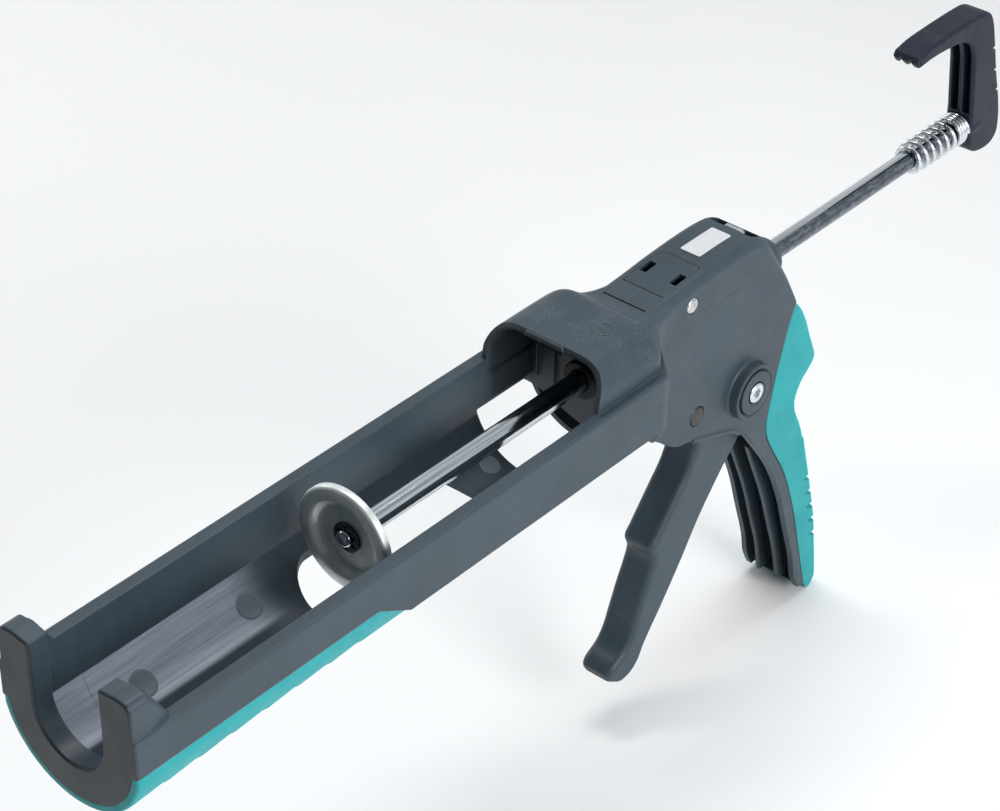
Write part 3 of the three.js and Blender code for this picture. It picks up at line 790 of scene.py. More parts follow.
def make_cradle():
    cradle = cradle_bay()
    add(cradle, front_fork())
    # clear bay behind the front wall
    wide = INNER - 0.02
    clear = [(wide, RAIL + 30, 0), (wide, RAIL, 0), (25.73, -10.5, 0), *arc(wide, -22.2, -90, 40)[1:]]
    clear = mirrored_open(clear)
    cut(cradle, prism("cutter", "section", [p[:2] for p in clear], 60, WALL - 0.2))
    # shallow recess for the cartridge's front edge
    deep = 0.07
    seat = [(INNER + deep, RAIL + 0.1, 0), (25.75 + deep, -10.5, 0), *arc(INNER + deep, -22.2, -90, 40)[1:]]
    seat = mirrored_open(seat)
    cut(cradle, prism("cutter", "section", [p[:2] for p in seat], 106.0, WALL - 0.1))
    add(cradle, hood_and_neck())
    cut(cradle, prism("cutter", "plan", window(-81, 12.2, 21.4, 14), -40, -12))
    rear = fillet([(BULK, -8.4, 0.4), (-105.2, -8.4, 1.2), (-105.2, -40, 0), (BULK, -40, 0)])
    cut(cradle, prism("cutter", "side", rear, -30.6, 30.6))
    cut(cradle, cylinder_x(8.3, -170, -110))
    # parting line along the floor
    cut(cradle, block(22, 124, -0.12, 0.12, -INNER - 0.18, -INNER + 0.6))
    finish_piece(cradle, "cradle_tray", "cradle", "frame", ["cradle"], 30)
    places = ((86.4, 54.2, 5.8), (31.5, 50.0, 5.8), (-97.2, 64.6, 4.6))  # x, degrees under level, radius
    pads = [pad(x, s, math.radians(angle), r) for x, angle, r in places for s in (-1, 1)]
    finish_piece(join(*pads), "floor_pads", "pad", "frame", angle=20)
    # ejector mark on the hood
    mark = [(r, 29.6 + dz) for r, dz in ((4.6, -0.5), (4.6, 0.06), (4.35, 0.12), (4.1, 0.06), (4.1, -0.5))]
    turn = [2 * math.pi * k / 64 for k in range(64)]
    rings = [[(-138 + r * math.cos(a), 11 + r * math.sin(a), z) for a in turn] for r, z in mark]
    finish_piece(loft("mark", rings, wrap=True), "hood_mark", "cradle", "frame")


def make_cradle_skin():
    """The soft skin: fuller towards the front, with saw-tooth grip steps along its underside."""
    tooth, first, count = 16.3, 17.0, 7
    stations = [(SKIN_REAR, 0.0)]
    for k in range(count):
        x = first + tooth * k
        stations += [(x, 0.0), (x + 0.9, 0.45)]
    stations += [
        (FRONT - 4.1, 0.0), (FRONT - 3.9, 0.0), (FRONT - 1.7, 0.0), (FRONT - 0.9, 0.25),
        (FRONT - 0.4, 0.8), (FRONT - 0.25, 1.3),
    ]
    rings = []
    for x, drop in stations:
        fuller = SKIN_R + 0.6 * min(1.0, max(0.0, (x - 50) / 70))
        inner = SHELL_R + 0.15 if x < FRONT - 4 else FACE_R + 0.05
        half_out = [(min(p[0], 33.8), p[1]) for p in arc(fuller, -9.2, -90, 60)]
        shown = []
        for i, (y, z) in enumerate(half_out):
            angle = 9.2 + (90 - 9.2) * i / 60
            tuck = drop if x > FRONT - 4 else drop * min(1.0, max(0.0, (angle - 26) / 10))
            shown.append((y * (1 - tuck / fuller), z * (1 - tuck / fuller)))
        shown[0] = (shown[0][0], SKIN_TOP)
        hidden = [(inner * 0.995, SKIN_TOP), *[p[:2] for p in arc(inner, -10, -90, 60)][1:]]
        outline = mirrored_open(shown) + flipped(hidden) + hidden[-2::-1]
        rings.append([(x, a, b) for a, b in outline])
    skin = loft("skin", rings)
    rear = [(-8, -2), (16.2, -2), (16.2, SKIN_TOP - 0.02), (-8, -19.07)]
    cut(skin, prism("cutter", "side", rear, -40, 40))
    cut(skin, prism("cutter", "plan", window(-90.3, 17.8, 25.9, 17.3), -40, -12))
    finish_piece(skin, "under_skin", "teal", "frame", ["cradle_skin"], 28)


# ---------- housing and handle ----------
# Side outlines, as (x, z): the shells, the channel in the handle, and what is hollowed out of both.
BODY = [
    (-165.4, 24.5, 0), (-178, 25.2), (-200, 27), (-229, 27.4), (-237, 26.2), (-243, 22.8), (-247.5, 17),
    (-258.5, -1), (-267, -19.5, 2), (-263, -27), (-259.5, -37), (-255.5, -51), (-252.5, -65),
    (-250.6, -75), (-251.5, -82), (-256.5, -92), (-267.5, -111), (-277.5, -137), (-285.3, -165),
    (-290.2, -183), (-292, -189.2, 1.5), (-288, -189.8, 1.5), (-283.8, -181), (-281.3, -169),
    (-274.5, -148), (-267.3, -126), (-256.5, -103), (-243.5, -84), (-233, -71), (-227, -66.4),
    (-219, -63.2), (-210, -60), (-202, -57), (-195, -55), (-187, -53.2), (-181, -49.6), (-175, -44.6),
    (-169.5, -40.6), (-165.4, -38, 0),
]
CORE = [
    (-266, -24, 0), (-274, -34), (-279, -47), (-281, -56), (-273, -65), (-270, -76), (-275.5, -94),
    (-281, -112), (-286, -132), (-289.5, -150), (-293, -170), (-297.0, -191.2, 0), (-291.6, -191.2, 0),
    (-288, -178), (-283, -160), (-276, -137), (-266, -111), (-255, -92), (-249.5, -82), (-248, -74),
    (-251, -60), (-256, -40, 0),
]
CHAMBER = [
    (-168.4, 20), (-200, 23), (-222, 23.6), (-241, 22.4), (-247, 13), (-255, -3), (-262, -20), (-252, -50),
    (-247, -74), (-230, -66), (-204, -54), (-186, -49), (-176, -42), (-168.4, -34),
]
MOUTH = [(-240, -90), (-250, -74), (-228, -62), (-204, -50), (-188, -47), (-188, -75), (-200, -100)]
HOLLOW = [
    (-236, -70), (-249, -78), (-258, -92), (-269, -111), (-279, -137), (-287, -165), (-293.5, -188),
    (-292, -198), (-262, -170), (-240, -100),
]
CORE_HOLLOW = [
    (-262, -84), (-273, -94), (-279, -112), (-284.4, -132), (-288, -150), (-291.6, -170), (-295.0, -186, 1),
    (-286.5, -196, 1), (-280, -165), (-272, -137), (-262.5, -111), (-253, -92), (-251, -84),
]
RIB = [
    (-250.6, -92, 1), (-257, -107), (-266, -128), (-273.5, -150), (-279.5, -168), (-283.4, -186.5, 1.2),
    (-290.4, -186.5, 0.3), (-291, -182), (-289, -170), (-285.5, -150), (-282, -132), (-277, -112),
    (-271.5, -94), (-262, -86, 0.3),
]
UPPER_GAP = [(-254, -58), (-262, -40), (-270, -48), (-273, -56), (-262, -66)]
SWEEP = [(-244, -44), (-256, -51), (-259, -64), (-257.5, -80), (-252, -93), (-242, -86), (-236, -60)]
PANEL_UPPER = [(-180, 13.5), (-183, 13), (-196, 11), (-223, 8), (-228, 12), (-245, 15)]
PANEL_LOWER = [(-192, -18), (-225, -20), (-240, -14), (-252, -8), (-242, 13), (-236, 13.4)]
PANEL_NECK = [(-165.6, 3.6), (-175.6, 4.2), (-178.4, 6.0), (-179.0, 11.6), (-181.2, 13.4), (-187, 12.8)]
RIVETS = (("rivet_upper", -191.0, 16.0, 3.6), ("rivet_lower", -198.5, -43.0, 4.6))


def housing_half(s):
    """One half of the housing and handle: s is 1 on the left and -1 on the right."""

    def y(low, high):
        return on_side(s, low, high)

    def rims(inner, outer):
        return (inner, outer) if s > 0 else (outer, inner)

    def outer_rim(x, z):
        if z > -20:
            return 0.5 + 4.0 * min(1.0, max(0.0, (z + 18) / 24))
        if x > -168.2:
            return 0.05
        return 0.5 if z > -25 or x < -240 and x < -0.42 * z - 236 else 1.7

    def slab(points, low, high):
        return prism("cutter", "side", points, *y(low, high))

    half = prism("half", "side", flow(BODY), *y(0, SHELL), rim=rims(0, outer_rim), steps=8)
    rings = []
    for x, w, top, bottom, r in eased([
        (-165.32, 17.5, 24.5, -37.5, 6), (-168.5, 16.8, 24.6, -38.8, 6.5), (-173, 15.6, 24.8, -41, 6.5),
        (-179, 14.98, 25.1, -43, 4.9),
    ]):
        corner = [(x, s * p[0], p[1]) for p in arc(r, 90, 0, 12, (w - r, top - r))]
        foot = [(x, s * p[0], p[1]) for p in arc(2, 0, -90, 6, (w - 2, bottom + 2))]
        rings.append([(x, 0, top), *corner, *foot, (x, 0, bottom)])
    add(half, loft("flare", rings))
    cut(half, slab(CHAMBER, -1, 12), slab(MOUTH, -1, 12), slab(HOLLOW, -1, 12.2))
    add(half, prism("rib", "side", flow(RIB), *y(4, 6.2), rim=(0.7, 0.7)))
    cut(half, slab(UPPER_GAP, -1, 9))
    cut(half, slab(SWEEP, -1, 9.4))
    add(half, slab([(-227, 24), (-229, 24), (-229, -5.5), (-227, -5.5)], 0, 13))
    cut(half, cylinder_x(HOLE + 0.2, -300, -160), cylinder_x(10.9, -290, -244))
    slot = fillet([(-241, -11.5, 2), (-234.6, -11.5, 2), (-234.6, 11.5, 2), (-241, 11.5, 2)])
    cut(half, prism("cutter", "plan", slot, 20, 32))
    # swollen lip where the trigger leaves the housing
    lip = [
        (-197, -55.0), (-203, -56.9), (-209, -58.9), (-215, -61.0), (-221, -63.2), (-227, -66.0),
        (-231, -69.2),
    ]
    add(half, wire("lip", [(x, s * 14.3, z) for x, z in fillet_line(lip)], 1.5))
    # pivot boss: a flared foot, a rounded rim and the recess for its cap
    boss = [
        (0, 10.8), (15.4, 10.8), (15.4, 14.9), (14.2, 15.1), (13.5, 15.7), (13.2, 16.8), (13.1, 18.9),
        (12.8, 19.6), (12.1, 20.0), (11.6, 19.9), (10.6, 19.2), (10.6, 18.4), (0, 18.4),
    ]
    add(half, lathe("boss", [(r, s * t) for r, t in boss], "y", PIVOT, 96))
    cut(half, cylinder_y(4.8, *y(5, 21), *PIVOT))
    for _, x, z, r in RIVETS:
        cut(half, cylinder_y(2.4, *y(-1, 16), x, z, 32), cylinder_y(r + 0.3, *y(14.3, 16), x, z, 48))
    opening = fillet([
        (-202.12, -10.47, 3), (-176.28, -10.47, 0.4), (-176.28, 10.47, 0.4), (-202.12, 10.47, 3),
    ])
    cut(half, prism("cutter", "plan", opening, 21.5, 31))
    for line in (PANEL_UPPER, PANEL_LOWER, PANEL_NECK):
        cut(half, prism_groove(fillet_line(line), s))
    return half


def handle_core():
    """The channel between the halves, open to the front and at its foot."""
    core = prism("core", "side", flow(CORE), -11.9, 11.9)
    cut(core, prism("cutter", "side", flow(CORE_HOLLOW), -10.6, 10.6))
    cut(core, prism("cutter", "side", UPPER_GAP, -9, 9))
    cut(core, prism("cutter", "side", SWEEP, -9.4, 9.4))
    return cut(core, cylinder_x(10.9, -290, -244))


def fillet_line(points, radius=3.0):
    """An open line with its inner corners rounded."""
    out = [points[0]]
    for a, b, c in zip(points, points[1:], points[2:]):
        a, b, c = Vector(a), Vector(b), Vector(c)
        u, v = (a - b), (c - b)
        t = min(radius, u.length * 0.4, v.length * 0.4)
        p, q = b + u.normalized() * t, b + v.normalized() * t
        out += [tuple(p.lerp(b, k / 4).lerp(b.lerp(q, k / 4), k / 4)) for k in range(5)]
    return out + [points[-1]]


def prism_groove(line, s):
    """A fine panel line on the outer face of one half."""
    depth = 0.16
    low, high = (SHELL - depth, SHELL + 1) if s > 0 else (-SHELL - 1, -SHELL + depth)
    return groove(line, 0.32, "side", low, high)


GRIP_NOTCHES, NOTCH_TOP, NOTCH_PITCH = 5, -124, 9.2
GRIP = [
    (-266.9, -21.2, 1.2), (-270.5, -22.8), (-277, -32), (-282, -44), (-285.5, -52), (-286.9, -56.4),
    (-284.4, -61.3), (-277.8, -67), (-274.4, -74), (-274.8, -79), (-281, -93), (-286, -110),
    (-291, -128), (-294.5, -141), (-297, -151), (-299.5, -166), (-302.2, -186), (-302.4, -190.6),
    (-299.6, -194.1), (-295.5, -194.2), (-292.6, -189.5, 0.8), (-290.7, -183), (-285.9, -165),
    (-278.1, -137), (-268.1, -111), (-257.1, -92), (-252.1, -82), (-251.2, -75), (-253.1, -65),
    (-256.1, -51), (-260.1, -37), (-263.6, -27),
]
CORE_GAP = [
    (-262, -20), (-266.2, -23.7), (-274.3, -33.8), (-279.3, -47), (-281.4, -56.2), (-273.3, -65.2),
    (-270.3, -76), (-275.8, -94), (-281.3, -112), (-286.3, -132), (-289.8, -150), (-293.3, -170),
    (-297.4, -191.8), (-285, -193.4), (-270, -160), (-240, -90), (-240, -50),
]


def make_handle():
    finish_piece(housing_half(1), "housing_shell_left", "slate", "frame", ["housing_left"], 30)
    finish_piece(housing_half(-1), "housing_shell_right", "slate", "frame", ["housing_right"], 30)
    finish_piece(handle_core(), "handle_channel", "inside", "frame")

    def rim(x, z):
        """Round at the back, tight against the shells in front."""
        line = [(-263, -20), (-268, -40), (-268, -75), (-279, -110), (-291, -160), (-297, -196)]
        for (x0, z0), (x1, z1) in zip(line, line[1:]):
            if z1 <= z <= z0:
                back = x0 + (x1 - x0) * (z - z0) / (z1 - z0) - x
                return min(3.6 if z > -100 else 2.2, max(0.35, 0.35 + back * 0.7))
        return 0.6

    grip = prism("grip", "side", flow(GRIP), -14.9, 14.9, rim=(rim, rim), steps=7)
    cut(grip, prism("cutter", "side", CORE_GAP, -12, 12))
    for k in range(GRIP_NOTCHES):
        z = NOTCH_TOP - NOTCH_PITCH * k
        x = -289.9 - 0.24 * (NOTCH_TOP - z)  # the back leans with the handle
        notch = [
            (x + 5.2, z - 0.3, 0.5), (x - 9, z + 0.9, 0), (x - 9, z - 4.6, 0), (x + 0.9, z - 3.6, 0.8),
            (x + 4.6, z - 1.5, 0.4),
        ]
        cut(grip, prism("cutter", "side", fillet(notch), -16, 16))
    finish_piece(grip, "soft_grip", "teal", "frame", ["handle_grip"], 30)


# ---------- roof ----------
def make_roof():
    outline = fillet([(-202, -10.35, 2.9), (-176.9, -10.35, 0.4), (-176.9, 10.35, 0.4), (-202, 10.35, 2.9)])
    hatch = prism("hatch", "plan", outline, 23.7, 25.7, rim=(0, 0.3))
    for s in (1, -1):
        cut(hatch, block(-193.4, -185.8, *on_side(s, 5.8, 9.6), 20, 30, 0.3))
    # the roof rises to the rear, so the hatch leans with it
    turn = Matrix.Translation(Vector((-178, 0, 24.7)) * MM) @ Matrix.Rotation(math.radians(4.7), 4, "Y")
    hatch.data.transform(turn @ Matrix.Translation(Vector((178, 0, -25.2)) * MM))
    finish_piece(hatch, "roof_hatch", "slate", "frame", ["top_hatch"])
    sticker = fillet([(-229, -5, 0.9), (-207.2, -5, 0.9), (-207.2, 5, 0.9), (-229, 5, 0.9)])
    sticker = prism("sticker", "plan", sticker, 27.45, 27.75, rim=(0, 0.1))
    finish_piece(sticker, "blank_sticker", "label", "frame", ["blank_label"])


# ---------- fasteners ----------
def make_fasteners():
    for name, x, z, r in RIVETS:
        head = [
            (0, 15.45), (r - 1.1, 15.4), (r - 0.5, 15.2), (r - 0.1, 14.9), (r, 14.6), (r, 14.35),
            (2.1, 14.35), (2.1, 0),
        ]
        both = lathe("rivet", head + [(a, -b) for a, b in reversed(head[:-1])], "y", (x, z), 64)
        finish_piece(both, name + "_pin", "steel" if name == "rivet_upper" else "dark", "frame", [name], 40)
    for name, s in (("pivot_cap_left", 1), ("pivot_cap_right", -1)):
        disc = [
            (5.2, 18.7), (9.9, 18.7), (10.15, 18.9), (10.15, 20.1), (9.7, 20.5), (6.6, 20.6),
            (6.2, 20.35), (5.5, 20.3), (5.2, 20.0),
        ]
        disc = lathe("disc", [(r, s * t) for r, t in disc], "y", PIVOT, 96)
        finish_piece(disc, name + "_disc", "slate", "frame", [name])
    screw = [
        (0, -17.8), (2.4, -17.8), (2.7, -17.5), (2.7, 18.6), (4.5, 18.6), (4.6, 18.8), (4.6, 20.4),
        (4.2, 20.85), (3.7, 21.0), (2.75, 21.0), (2.5, 20.8), (0, 20.8),
    ]
    screw = lathe("screw", screw, "y", PIVOT, 64)
    # six-lobed socket
    lobes = []
    for k in range(72):
        a = 2 * math.pi * k / 72
        r = 2.05 + 0.3 * math.cos(6 * a)
        lobes.append((PIVOT[0] + r * math.cos(a), PIVOT[1] + r * math.sin(a)))
    cut(screw, prism("cutter", "side", lobes, 18.9, 22))
    finish_piece(screw, "pivot_bolt", "zinc", "frame", ["pivot_screw"], 40)
    hexagon = [(p[0], p[1], 0.3) for p in arc(4.7, 0, 300, 5, PIVOT)]
    nut = prism("nut", "side", fillet(hexagon), -20.8, -18.5, rim=(0.5, 0.2))
    cut(nut, cylinder_y(3.0, -22, -18, *PIVOT))
    finish_piece(nut, "pivot_hex_nut", "zinc", "frame", ["pivot_nut"], 40)
    sleeve = [(3.1, -18.2), (4.3, -18.2), (4.5, -18), (4.5, 18), (4.3, 18.2), (3.1, 18.2)]
    finish_piece(lathe("sleeve", sleeve, "y", PIVOT), "pivot_tube", "steel", "frame", ["pivot_sleeve"])
    bush = [(4.8, -8.3), (6.9, -8.3), (7.1, -8.1), (7.1, 8.1), (6.9, 8.3), (4.8, 8.3)]
    finish_piece(lathe("bush", bush, "y", PIVOT), "trigger_bush", "zinc", "trigger", ["pivot_bush"])
    bush = [
        (HOLE, -164.8), (7.6, -164.8), (8, -164.4), (8, -139.8), (8.2, -139.7), (8.4, -139.3),
        (8.4, -137.6), (8.0, -137.0), (5.4, -137.0), (HOLE, -137.5),
    ]
    finish_piece(lathe("bush", bush), "rod_guide", "inside", "frame", ["rod_bush"])


# ---------- trigger ----------
TRIGGER = [
    (-222.8, -44), (-216, -54), (-210.5, -64), (-206.5, -74), (-203.2, -80), (-197, -87.5), (-190, -96),
    (-184.4, -102.8), (-180.8, -107.4), (-182.8, -114.4), (-180.6, -121), (-176, -131), (-171.5, -142),
    (-167.6, -151), (-163.6, -155.8), (-157.4, -159.4), (-154.7, -163.2), (-156.2, -167.2),
    (-161, -169.4), (-168, -169.3), (-173.6, -165.8), (-178.5, -157.6), (-189, -144), (-202, -126),
    (-214, -108), (-229, -90), (-240, -78), (-244, -66), (-245.3, -55), (-245.3, -47), (-243.5, -40),
    (-239, -36), (-236, -26), (-233.3, -9, 0.8), (-231, -7.6, 0.8), (-227.2, -7.6, 0.8),
    (-226, -9.5, 0.8), (-226, -30), (-224.5, -38),
]
POCKET = [
    (-228, -66, 2), (-212, -82), (-196, -103), (-187, -118), (-177, -140), (-170, -155), (-174, -163),
    (-180, -158), (-250, -80), (-252, -64),
]


def make_trigger():
    def rim(x, z):
        """Well rounded along the front face and the tip, tight along the back."""
        if z > -52:
            return 0.5
        line = [
            (-228, -52), (-221, -75), (-204, -100), (-192, -120), (-182, -145), (-170, -164),
            (-160, -171),
        ]
        for (x0, z0), (x1, z1) in zip(line, line[1:]):
            if z1 <= z <= z0:
                ahead = x - (x0 + (x1 - x0) * (z - z0) / (z1 - z0))
                fade = min(1.0, (-52 - z) / 18)
                return 0.6 + 2.9 * fade * min(1.0, max(0.0, ahead / 5))
        return 2.5

    trigger = prism("trigger", "side", flow(TRIGGER), -8.5, 8.5, rim=(rim, rim), steps=8)
    for s in (1, -1):
        cut(trigger, block(-240, -222, *on_side(s, 5, 10), -34, 0))
        cut(trigger, prism("cutter", "side", flow(POCKET), *on_side(s, 1.4, 6.2)))
    cut(trigger, cylinder_y(7.4, -12, 12, *PIVOT))
    finish_piece(trigger, "squeeze_trigger", "slate", "trigger", ["trigger"], 30)


# ---------- drive and brake ----------
def helix(x0, x1, radius, turns, steps=40, closed_front=0.0, closed_rear=0.0, wire_r=1.0):
    """Points of a coil. closed_* turns at an end lie against each other."""
    out = []
    total = turns + closed_front + closed_rear
    pitch_closed = wire_r * 2.02
    low, high = x0 + closed_rear * pitch_closed, x1 - closed_front * pitch_closed
    count = round(total * steps)
    for i in range(count + 1):
        t = total * i / count
        if t < closed_rear:
            x = x0 + t * pitch_closed
        elif t > total - closed_front:
            x = x1 - (total - t) * pitch_closed
        else:
            x = low + (high - low) * (t - closed_rear) / turns
        r = radius(i / count) if callable(radius) else radius
        out.append((x, r * math.cos(2 * math.pi * t), r * math.sin(2 * math.pi * t)))
    return out


BRAKE_X, FULCRUM, BRAKE_TILT = -238, 23, 5  # the brake plate, the height it tilts about, degrees at rest


def make_drive():
    def plate(name, x0, x1, z0, z1, w, hole=HOLE):
        outline = fillet([(-w, z0, 2.4), (w, z0, 2.4), (w, z1, 2.4), (-w, z1, 2.4)])
        blank = prism(name, "section", outline, x0, x1, rim=(0.15, 0.15))
        return cut(blank, cylinder_x(hole, x0 - 1, x1 + 1))

    for end, x0, x1 in (("front", -222.6, -220.6), ("rear", -225.2, -223)):
        grip = plate("plate", x0, x1, -19, 13, 9)
        finish_piece(grip, "drive_plate_" + end, "steel", "drive", ["grip_plate_" + end])
    main = wire("main", helix(-218.7, -170.1, 8, 6, 36, 1, 1, 0.8), 0.8)
    finish_piece(main, "main_spring", "zinc", "frame", ["drive_spring"])
    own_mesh(main)
    brake = plate("brake", BRAKE_X - 1, BRAKE_X + 1, -16, 21.5, 9.5, 5.4)
    top = fillet([(-5, 20, 0), (5, 20, 0), (5, 25.6, 1.6), (-5, 25.6, 1.6)])
    add(brake, prism("tab", "section", top, -238.98, -237.02, rim=(0.15, 0.15)))
    hinge = Vector((BRAKE_X, 0, FULCRUM)) * MM
    tilt = Matrix.Rotation(math.radians(BRAKE_TILT), 4, "Y")
    brake.data.transform(Matrix.Translation(hinge) @ tilt @ Matrix.Translation(-hinge))
    finish_piece(brake, "brake_lever_plate", "steel", "brake", ["brake_plate"])
    small = wire("small", helix(-237.1, -230.3, 5.5, 2.4, 36, 0.4, 0.4, 0.5), 0.5, 10)
    finish_piece(small, "brake_coil", "zinc", "frame", ["brake_spring"])
    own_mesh(small)
    collar = [
        (HOLE, -243.4), (9.6, -243.4), (10.2, -243.9), (10.5, -244.8), (10.55, -252), (10.4, -257),
        (9.9, -260), (8.9, -262.2), (7.6, -263.3), (6.2, -263.6), (5.2, -263.2), (HOLE, -262.4),
    ]
    finish_piece(lathe("collar", collar, n=128), "release_button", "slate", "release", ["release_collar"], 40)


# ---------- push rod ----------
def make_rod():
    rod = [
        (0, -424), (ROD - 0.8, -424), (ROD, -423.2), (ROD, -7.7), (3.6, -7.6), (3.6, -1.3), (3.4, -0.9),
        (2.7, -0.1), (2.3, 0), (0, 0),
    ]
    finish_piece(lathe("rod", rod, n=128), "push_rod_bar", "rod", "rod", ["push_rod"], 40)
    sheet = 1.6
    face = [
        (3.9, -3.35), (12.6, -3.35), (14.0, -3.1), (15.0, -2.2), (15.8, -0.75), (16.8, -0.1),
        (18.0, 0.0), (20.9, 0.0), (21.7, -0.15), (22.25, -0.55), (22.5, -1.2), (22.5, -3.2),
        (22.35, -3.4),
    ]
    back = [
        (21.1, -3.4), (20.95, -3.2), (20.8, -1.9), (20.4, -sheet), (17.2, -sheet), (16.5, -2.0),
        (15.6, -4.0), (14.4, -4.85), (12.8, -5.0), (3.9, -5.0),
    ]
    finish_piece(lathe("dish", face + back, n=160), "plunger_dish", "dish", "plunger", ["plunger_plate"], 50)
    washer = [(3.9, -7.3), (8.7, -7.3), (9.0, -7.0), (9.0, -5.6), (8.7, -5.3), (3.9, -5.3)]
    finish_piece(lathe("washer", washer), "plunger_back_washer", "zinc", "rod", ["plunger_washer"])
    # star washer: six teeth round the rod's tip
    star = []
    for k in range(144):
        a = 2 * math.pi * k / 144
        tooth = 0.5 + 0.5 * math.cos(6 * a)
        r = 3.85 + (1.5 if tooth < 0.32 else 0.0)
        star.append((r * math.cos(a), r * math.sin(a)))
    turn = [2 * math.pi * k / 96 for k in range(96)]
    outer = [(6.4 * math.cos(a), 6.4 * math.sin(a)) for a in turn]
    disc = prism("star", "section", outer, -3.2, -2.2, rim=(0.1, 0.35))
    cut(disc, prism("cutter", "section", star, -5, 0))
    finish_piece(disc, "star_washer", "dark", "rod", ["retaining_washer"], 30)

    def coil_radius(t):
        """Even, but the front end closes in on the rod."""
        return 6.7 - max(0.0, t - 0.88) * 9.0

    coil = wire("coil", helix(-409.1, -369.6, coil_radius, 5.6, 44, 0.6, 3.3, 1.05), 1.05, 16)
    finish_piece(coil, "buffer_coil", "zinc", "rod", ["buffer_spring"])


HOOK = [
    (-358.8, 55.0, 1.0), (-360.4, 57.8, 2.0), (-369, 59.5), (-380, 60.1), (-392, 60.4), (-406, 60.4),
    (-413, 59.8), (-418, 57.2), (-421, 52), (-424, 42), (-429.4, 22), (-434, 7), (-435.9, -4),
    (-435.4, -10.6), (-431.6, -14.4), (-424, -15.4), (-416, -13.2), (-411.6, -9), (-410.6, -4, 0),
    (-410.6, 9, 0), (-410, 14), (-408.6, 26), (-406.6, 40), (-403.6, 46.8), (-398, 50.4), (-384, 52.6),
    (-370, 53.0), (-361, 52.2, 1.0),
]


def make_hook():
    hook = prism("hook", "side", flow(HOOK), -7, 7, rim=(1.7, 1.7), steps=6)
    channel = [
        (-405, 7.8, 1), (-412.6, 7.8, 1), (-416.6, 13), (-415.6, 26), (-412, 44), (-408, 48.4, 1.5),
        (-401, 46, 1), (-403, 30),
    ]
    for s in (1, -1):
        cut(hook, prism("cutter", "side", flow(channel), *on_side(s, 0.9, 5.2), rim=(0.4, 0.4)))
        # two slots, flared at the bottom, part the arm's underside into three round ribs
        slit = [(a, b) for a, b, _ in arc(0.65, 0, 180, 12, (0, 55.4))]
        slit += [
            (-0.75, 54.4), (-1.3, 53.0), (-2.2, 51.8), (-2.2, 48), (2.2, 48), (2.2, 51.8), (1.3, 53.0),
            (0.75, 54.4),
        ]
        cut(hook, prism("cutter", "section", [(2.4 * s + a, b) for a, b in slit], -398, -350))
    for x, z in ((-425.1, 38.0), (-428.4, 25.5), (-431.9, 14.0)):
        notch = fillet([
            (x + 3.4, z + 0.3, 0.6), (x - 3.4, z + 2.6, 0), (x - 3.4, z - 2.4, 0),
            (x + 2.8, z - 0.9, 0.6),
        ])
        cut(hook, prism("cutter", "side", notch, -8, 8))
    boss = [
        (0, -425), (6.2, -425), (7.2, -421), (7.4, -418), (7.4, -411.6), (7.1, -410.9), (6.5, -410.6),
        (0, -410.6),
    ]
    add(hook, lathe("boss", boss, n=96))
    cut(hook, cylinder_x(ROD + 0.1, -424.2, -400))
    finish_piece(hook, "pull_hook", "hook", "rod", ["hook_handle"], 30)
    pin = [(0, -4.3), (1.2, -4.3), (1.5, -4.0), (1.5, 4.0), (1.2, 4.3), (0, 4.3)]
    finish_piece(lathe("pin", pin, "y", (-418, 0), 32), "pull_hook_pin", "zinc", "rod", ["hook_pin"])


make_cradle()
make_cradle_skin()
make_handle()
make_roof()
make_fasteners()
make_trigger()
make_drive()
make_rod()
make_hook()


# ---------- floor, light and camera ----------
def make_floor():
    mesh = bpy.data.meshes.new("studio_floor")
    half = 6.0
    level = -0.1946  # just under the handle's foot, in metres
    corners = [(-half, -half, level), (half, -half, level), (half, half, level), (-half, half, level)]
    mesh.from_pydata(corners, [], [(0, 1, 2, 3)])
    floor = bpy.data.objects.new("studio_floor", mesh)
    COLLECTION.objects.link(floor)
    m = Nodes("studio_floor")
    shade = m.mix(m.span(m.noise(3, 2), 0.3, 0.7), (0.955, 0.955, 0.955), (0.965, 0.965, 0.965))
    mesh.materials.append(m.set(Base_Color=shade, Roughness=0.9, Specular_IOR_Level=0.1))


def softbox(name, place, target, size, power):
    data = bpy.data.lights.new(name, "AREA")
    data.shape = "RECTANGLE"
    data.size, data.size_y = size
    data.energy = power
    lamp = bpy.data.objects.new(name, data)
    COLLECTION.objects.link(lamp)
    lamp.location = place
    lamp.rotation_euler = (Vector(target) - Vector(place)).to_track_quat("-Z", "Y").to_euler()


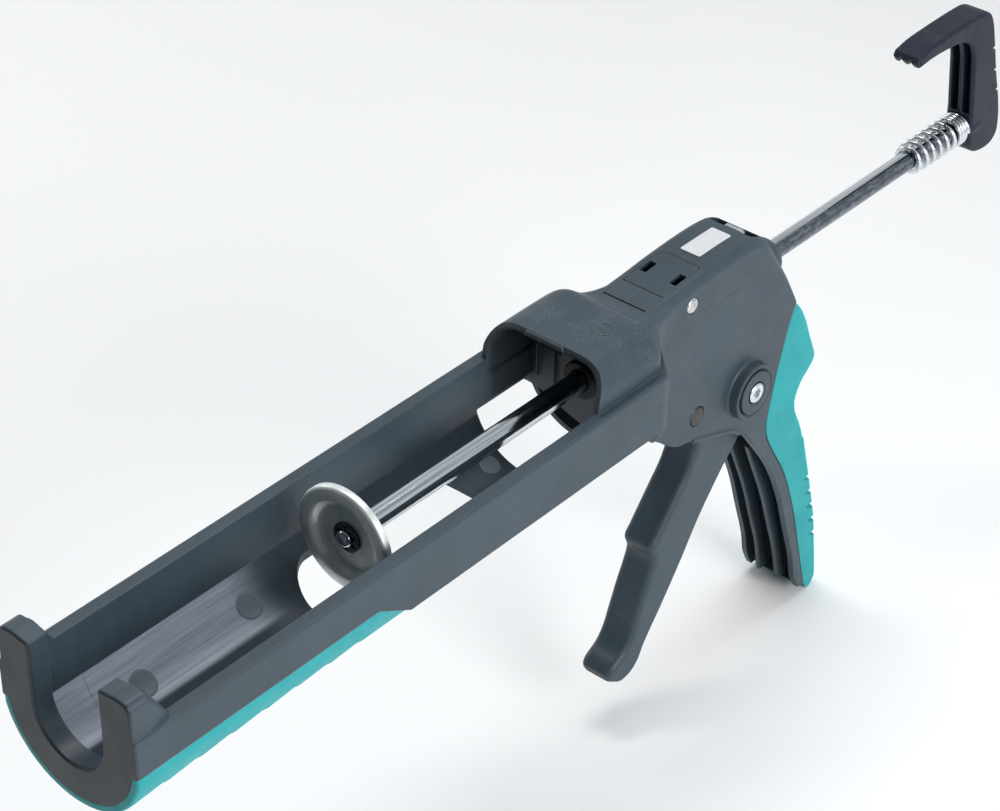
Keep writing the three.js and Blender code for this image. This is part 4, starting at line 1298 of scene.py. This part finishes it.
def make_light():
    world = bpy.data.worlds.new("studio")
    bpy.context.scene.world = world
    world.use_nodes = True
    tree = world.node_tree
    back = tree.nodes["Background"]
    back.inputs["Color"].default_value = (0.92, 0.96, 1.0, 1.0)
    direction = tree.nodes.new("ShaderNodeTexCoord")
    split = tree.nodes.new("ShaderNodeSeparateXYZ")
    tree.links.new(direction.outputs["Generated"], split.inputs[0])

    def ramp(value, low, high, to_low, to_high):
        n = tree.nodes.new("ShaderNodeMapRange")
        n.interpolation_type = "SMOOTHSTEP"
        tree.links.new(value, n.inputs[0])
        for socket, v in zip(list(n.inputs)[1:5], (low, high, to_low, to_high)):
            socket.default_value = v
        return n.outputs[0]

    upward = ramp(split.outputs[2], 0.05, 0.9, 0.80, 0.52)
    forward = ramp(split.outputs[0], -0.1, 0.6, 1.0, 0.08)
    product = tree.nodes.new("ShaderNodeMath")
    product.operation = "MULTIPLY"
    tree.links.new(upward, product.inputs[0])
    tree.links.new(forward, product.inputs[1])
    tree.links.new(product.outputs[0], back.inputs["Strength"])
    middle = (-0.1, 0, 0)
    softbox("left", (-0.02, 1.05, 0.42), (-0.02, 0, 0), (0.7, 0.5), 8.5)
    softbox("top", (-0.40, -0.25, 1.4), middle, (1.2, 0.25), 11)
    softbox("right", (-0.1, -1.4, 0.5), middle, (1.2, 0.5), 4)


def make_camera():
    """A long lens from the gun's front left, above."""
    data = bpy.data.cameras.new("camera")
    data.sensor_width = 36.0
    data.lens = 100.2
    data.shift_x, data.shift_y = 0.0101, -0.0035
    data.clip_start, data.clip_end = 0.01, 50
    camera = bpy.data.objects.new("camera", data)
    COLLECTION.objects.link(camera)
    turn = Vector((1.0294, 2.2703, -1.1679))
    to_view = Matrix.Rotation(turn.length, 3, turn.normalized())  # rows: right, down, ahead
    right, down, ahead = (Vector(row) for row in to_view)
    basis = Matrix((right, -down, -ahead)).transposed().to_4x4()
    camera.matrix_world = Matrix.Translation(Vector((575.7, 566.9, 635.5)) * MM) @ basis
    bpy.context.scene.camera = camera


make_floor()
make_light()
make_camera()
bpy.context.scene.view_settings.view_transform = "Standard"
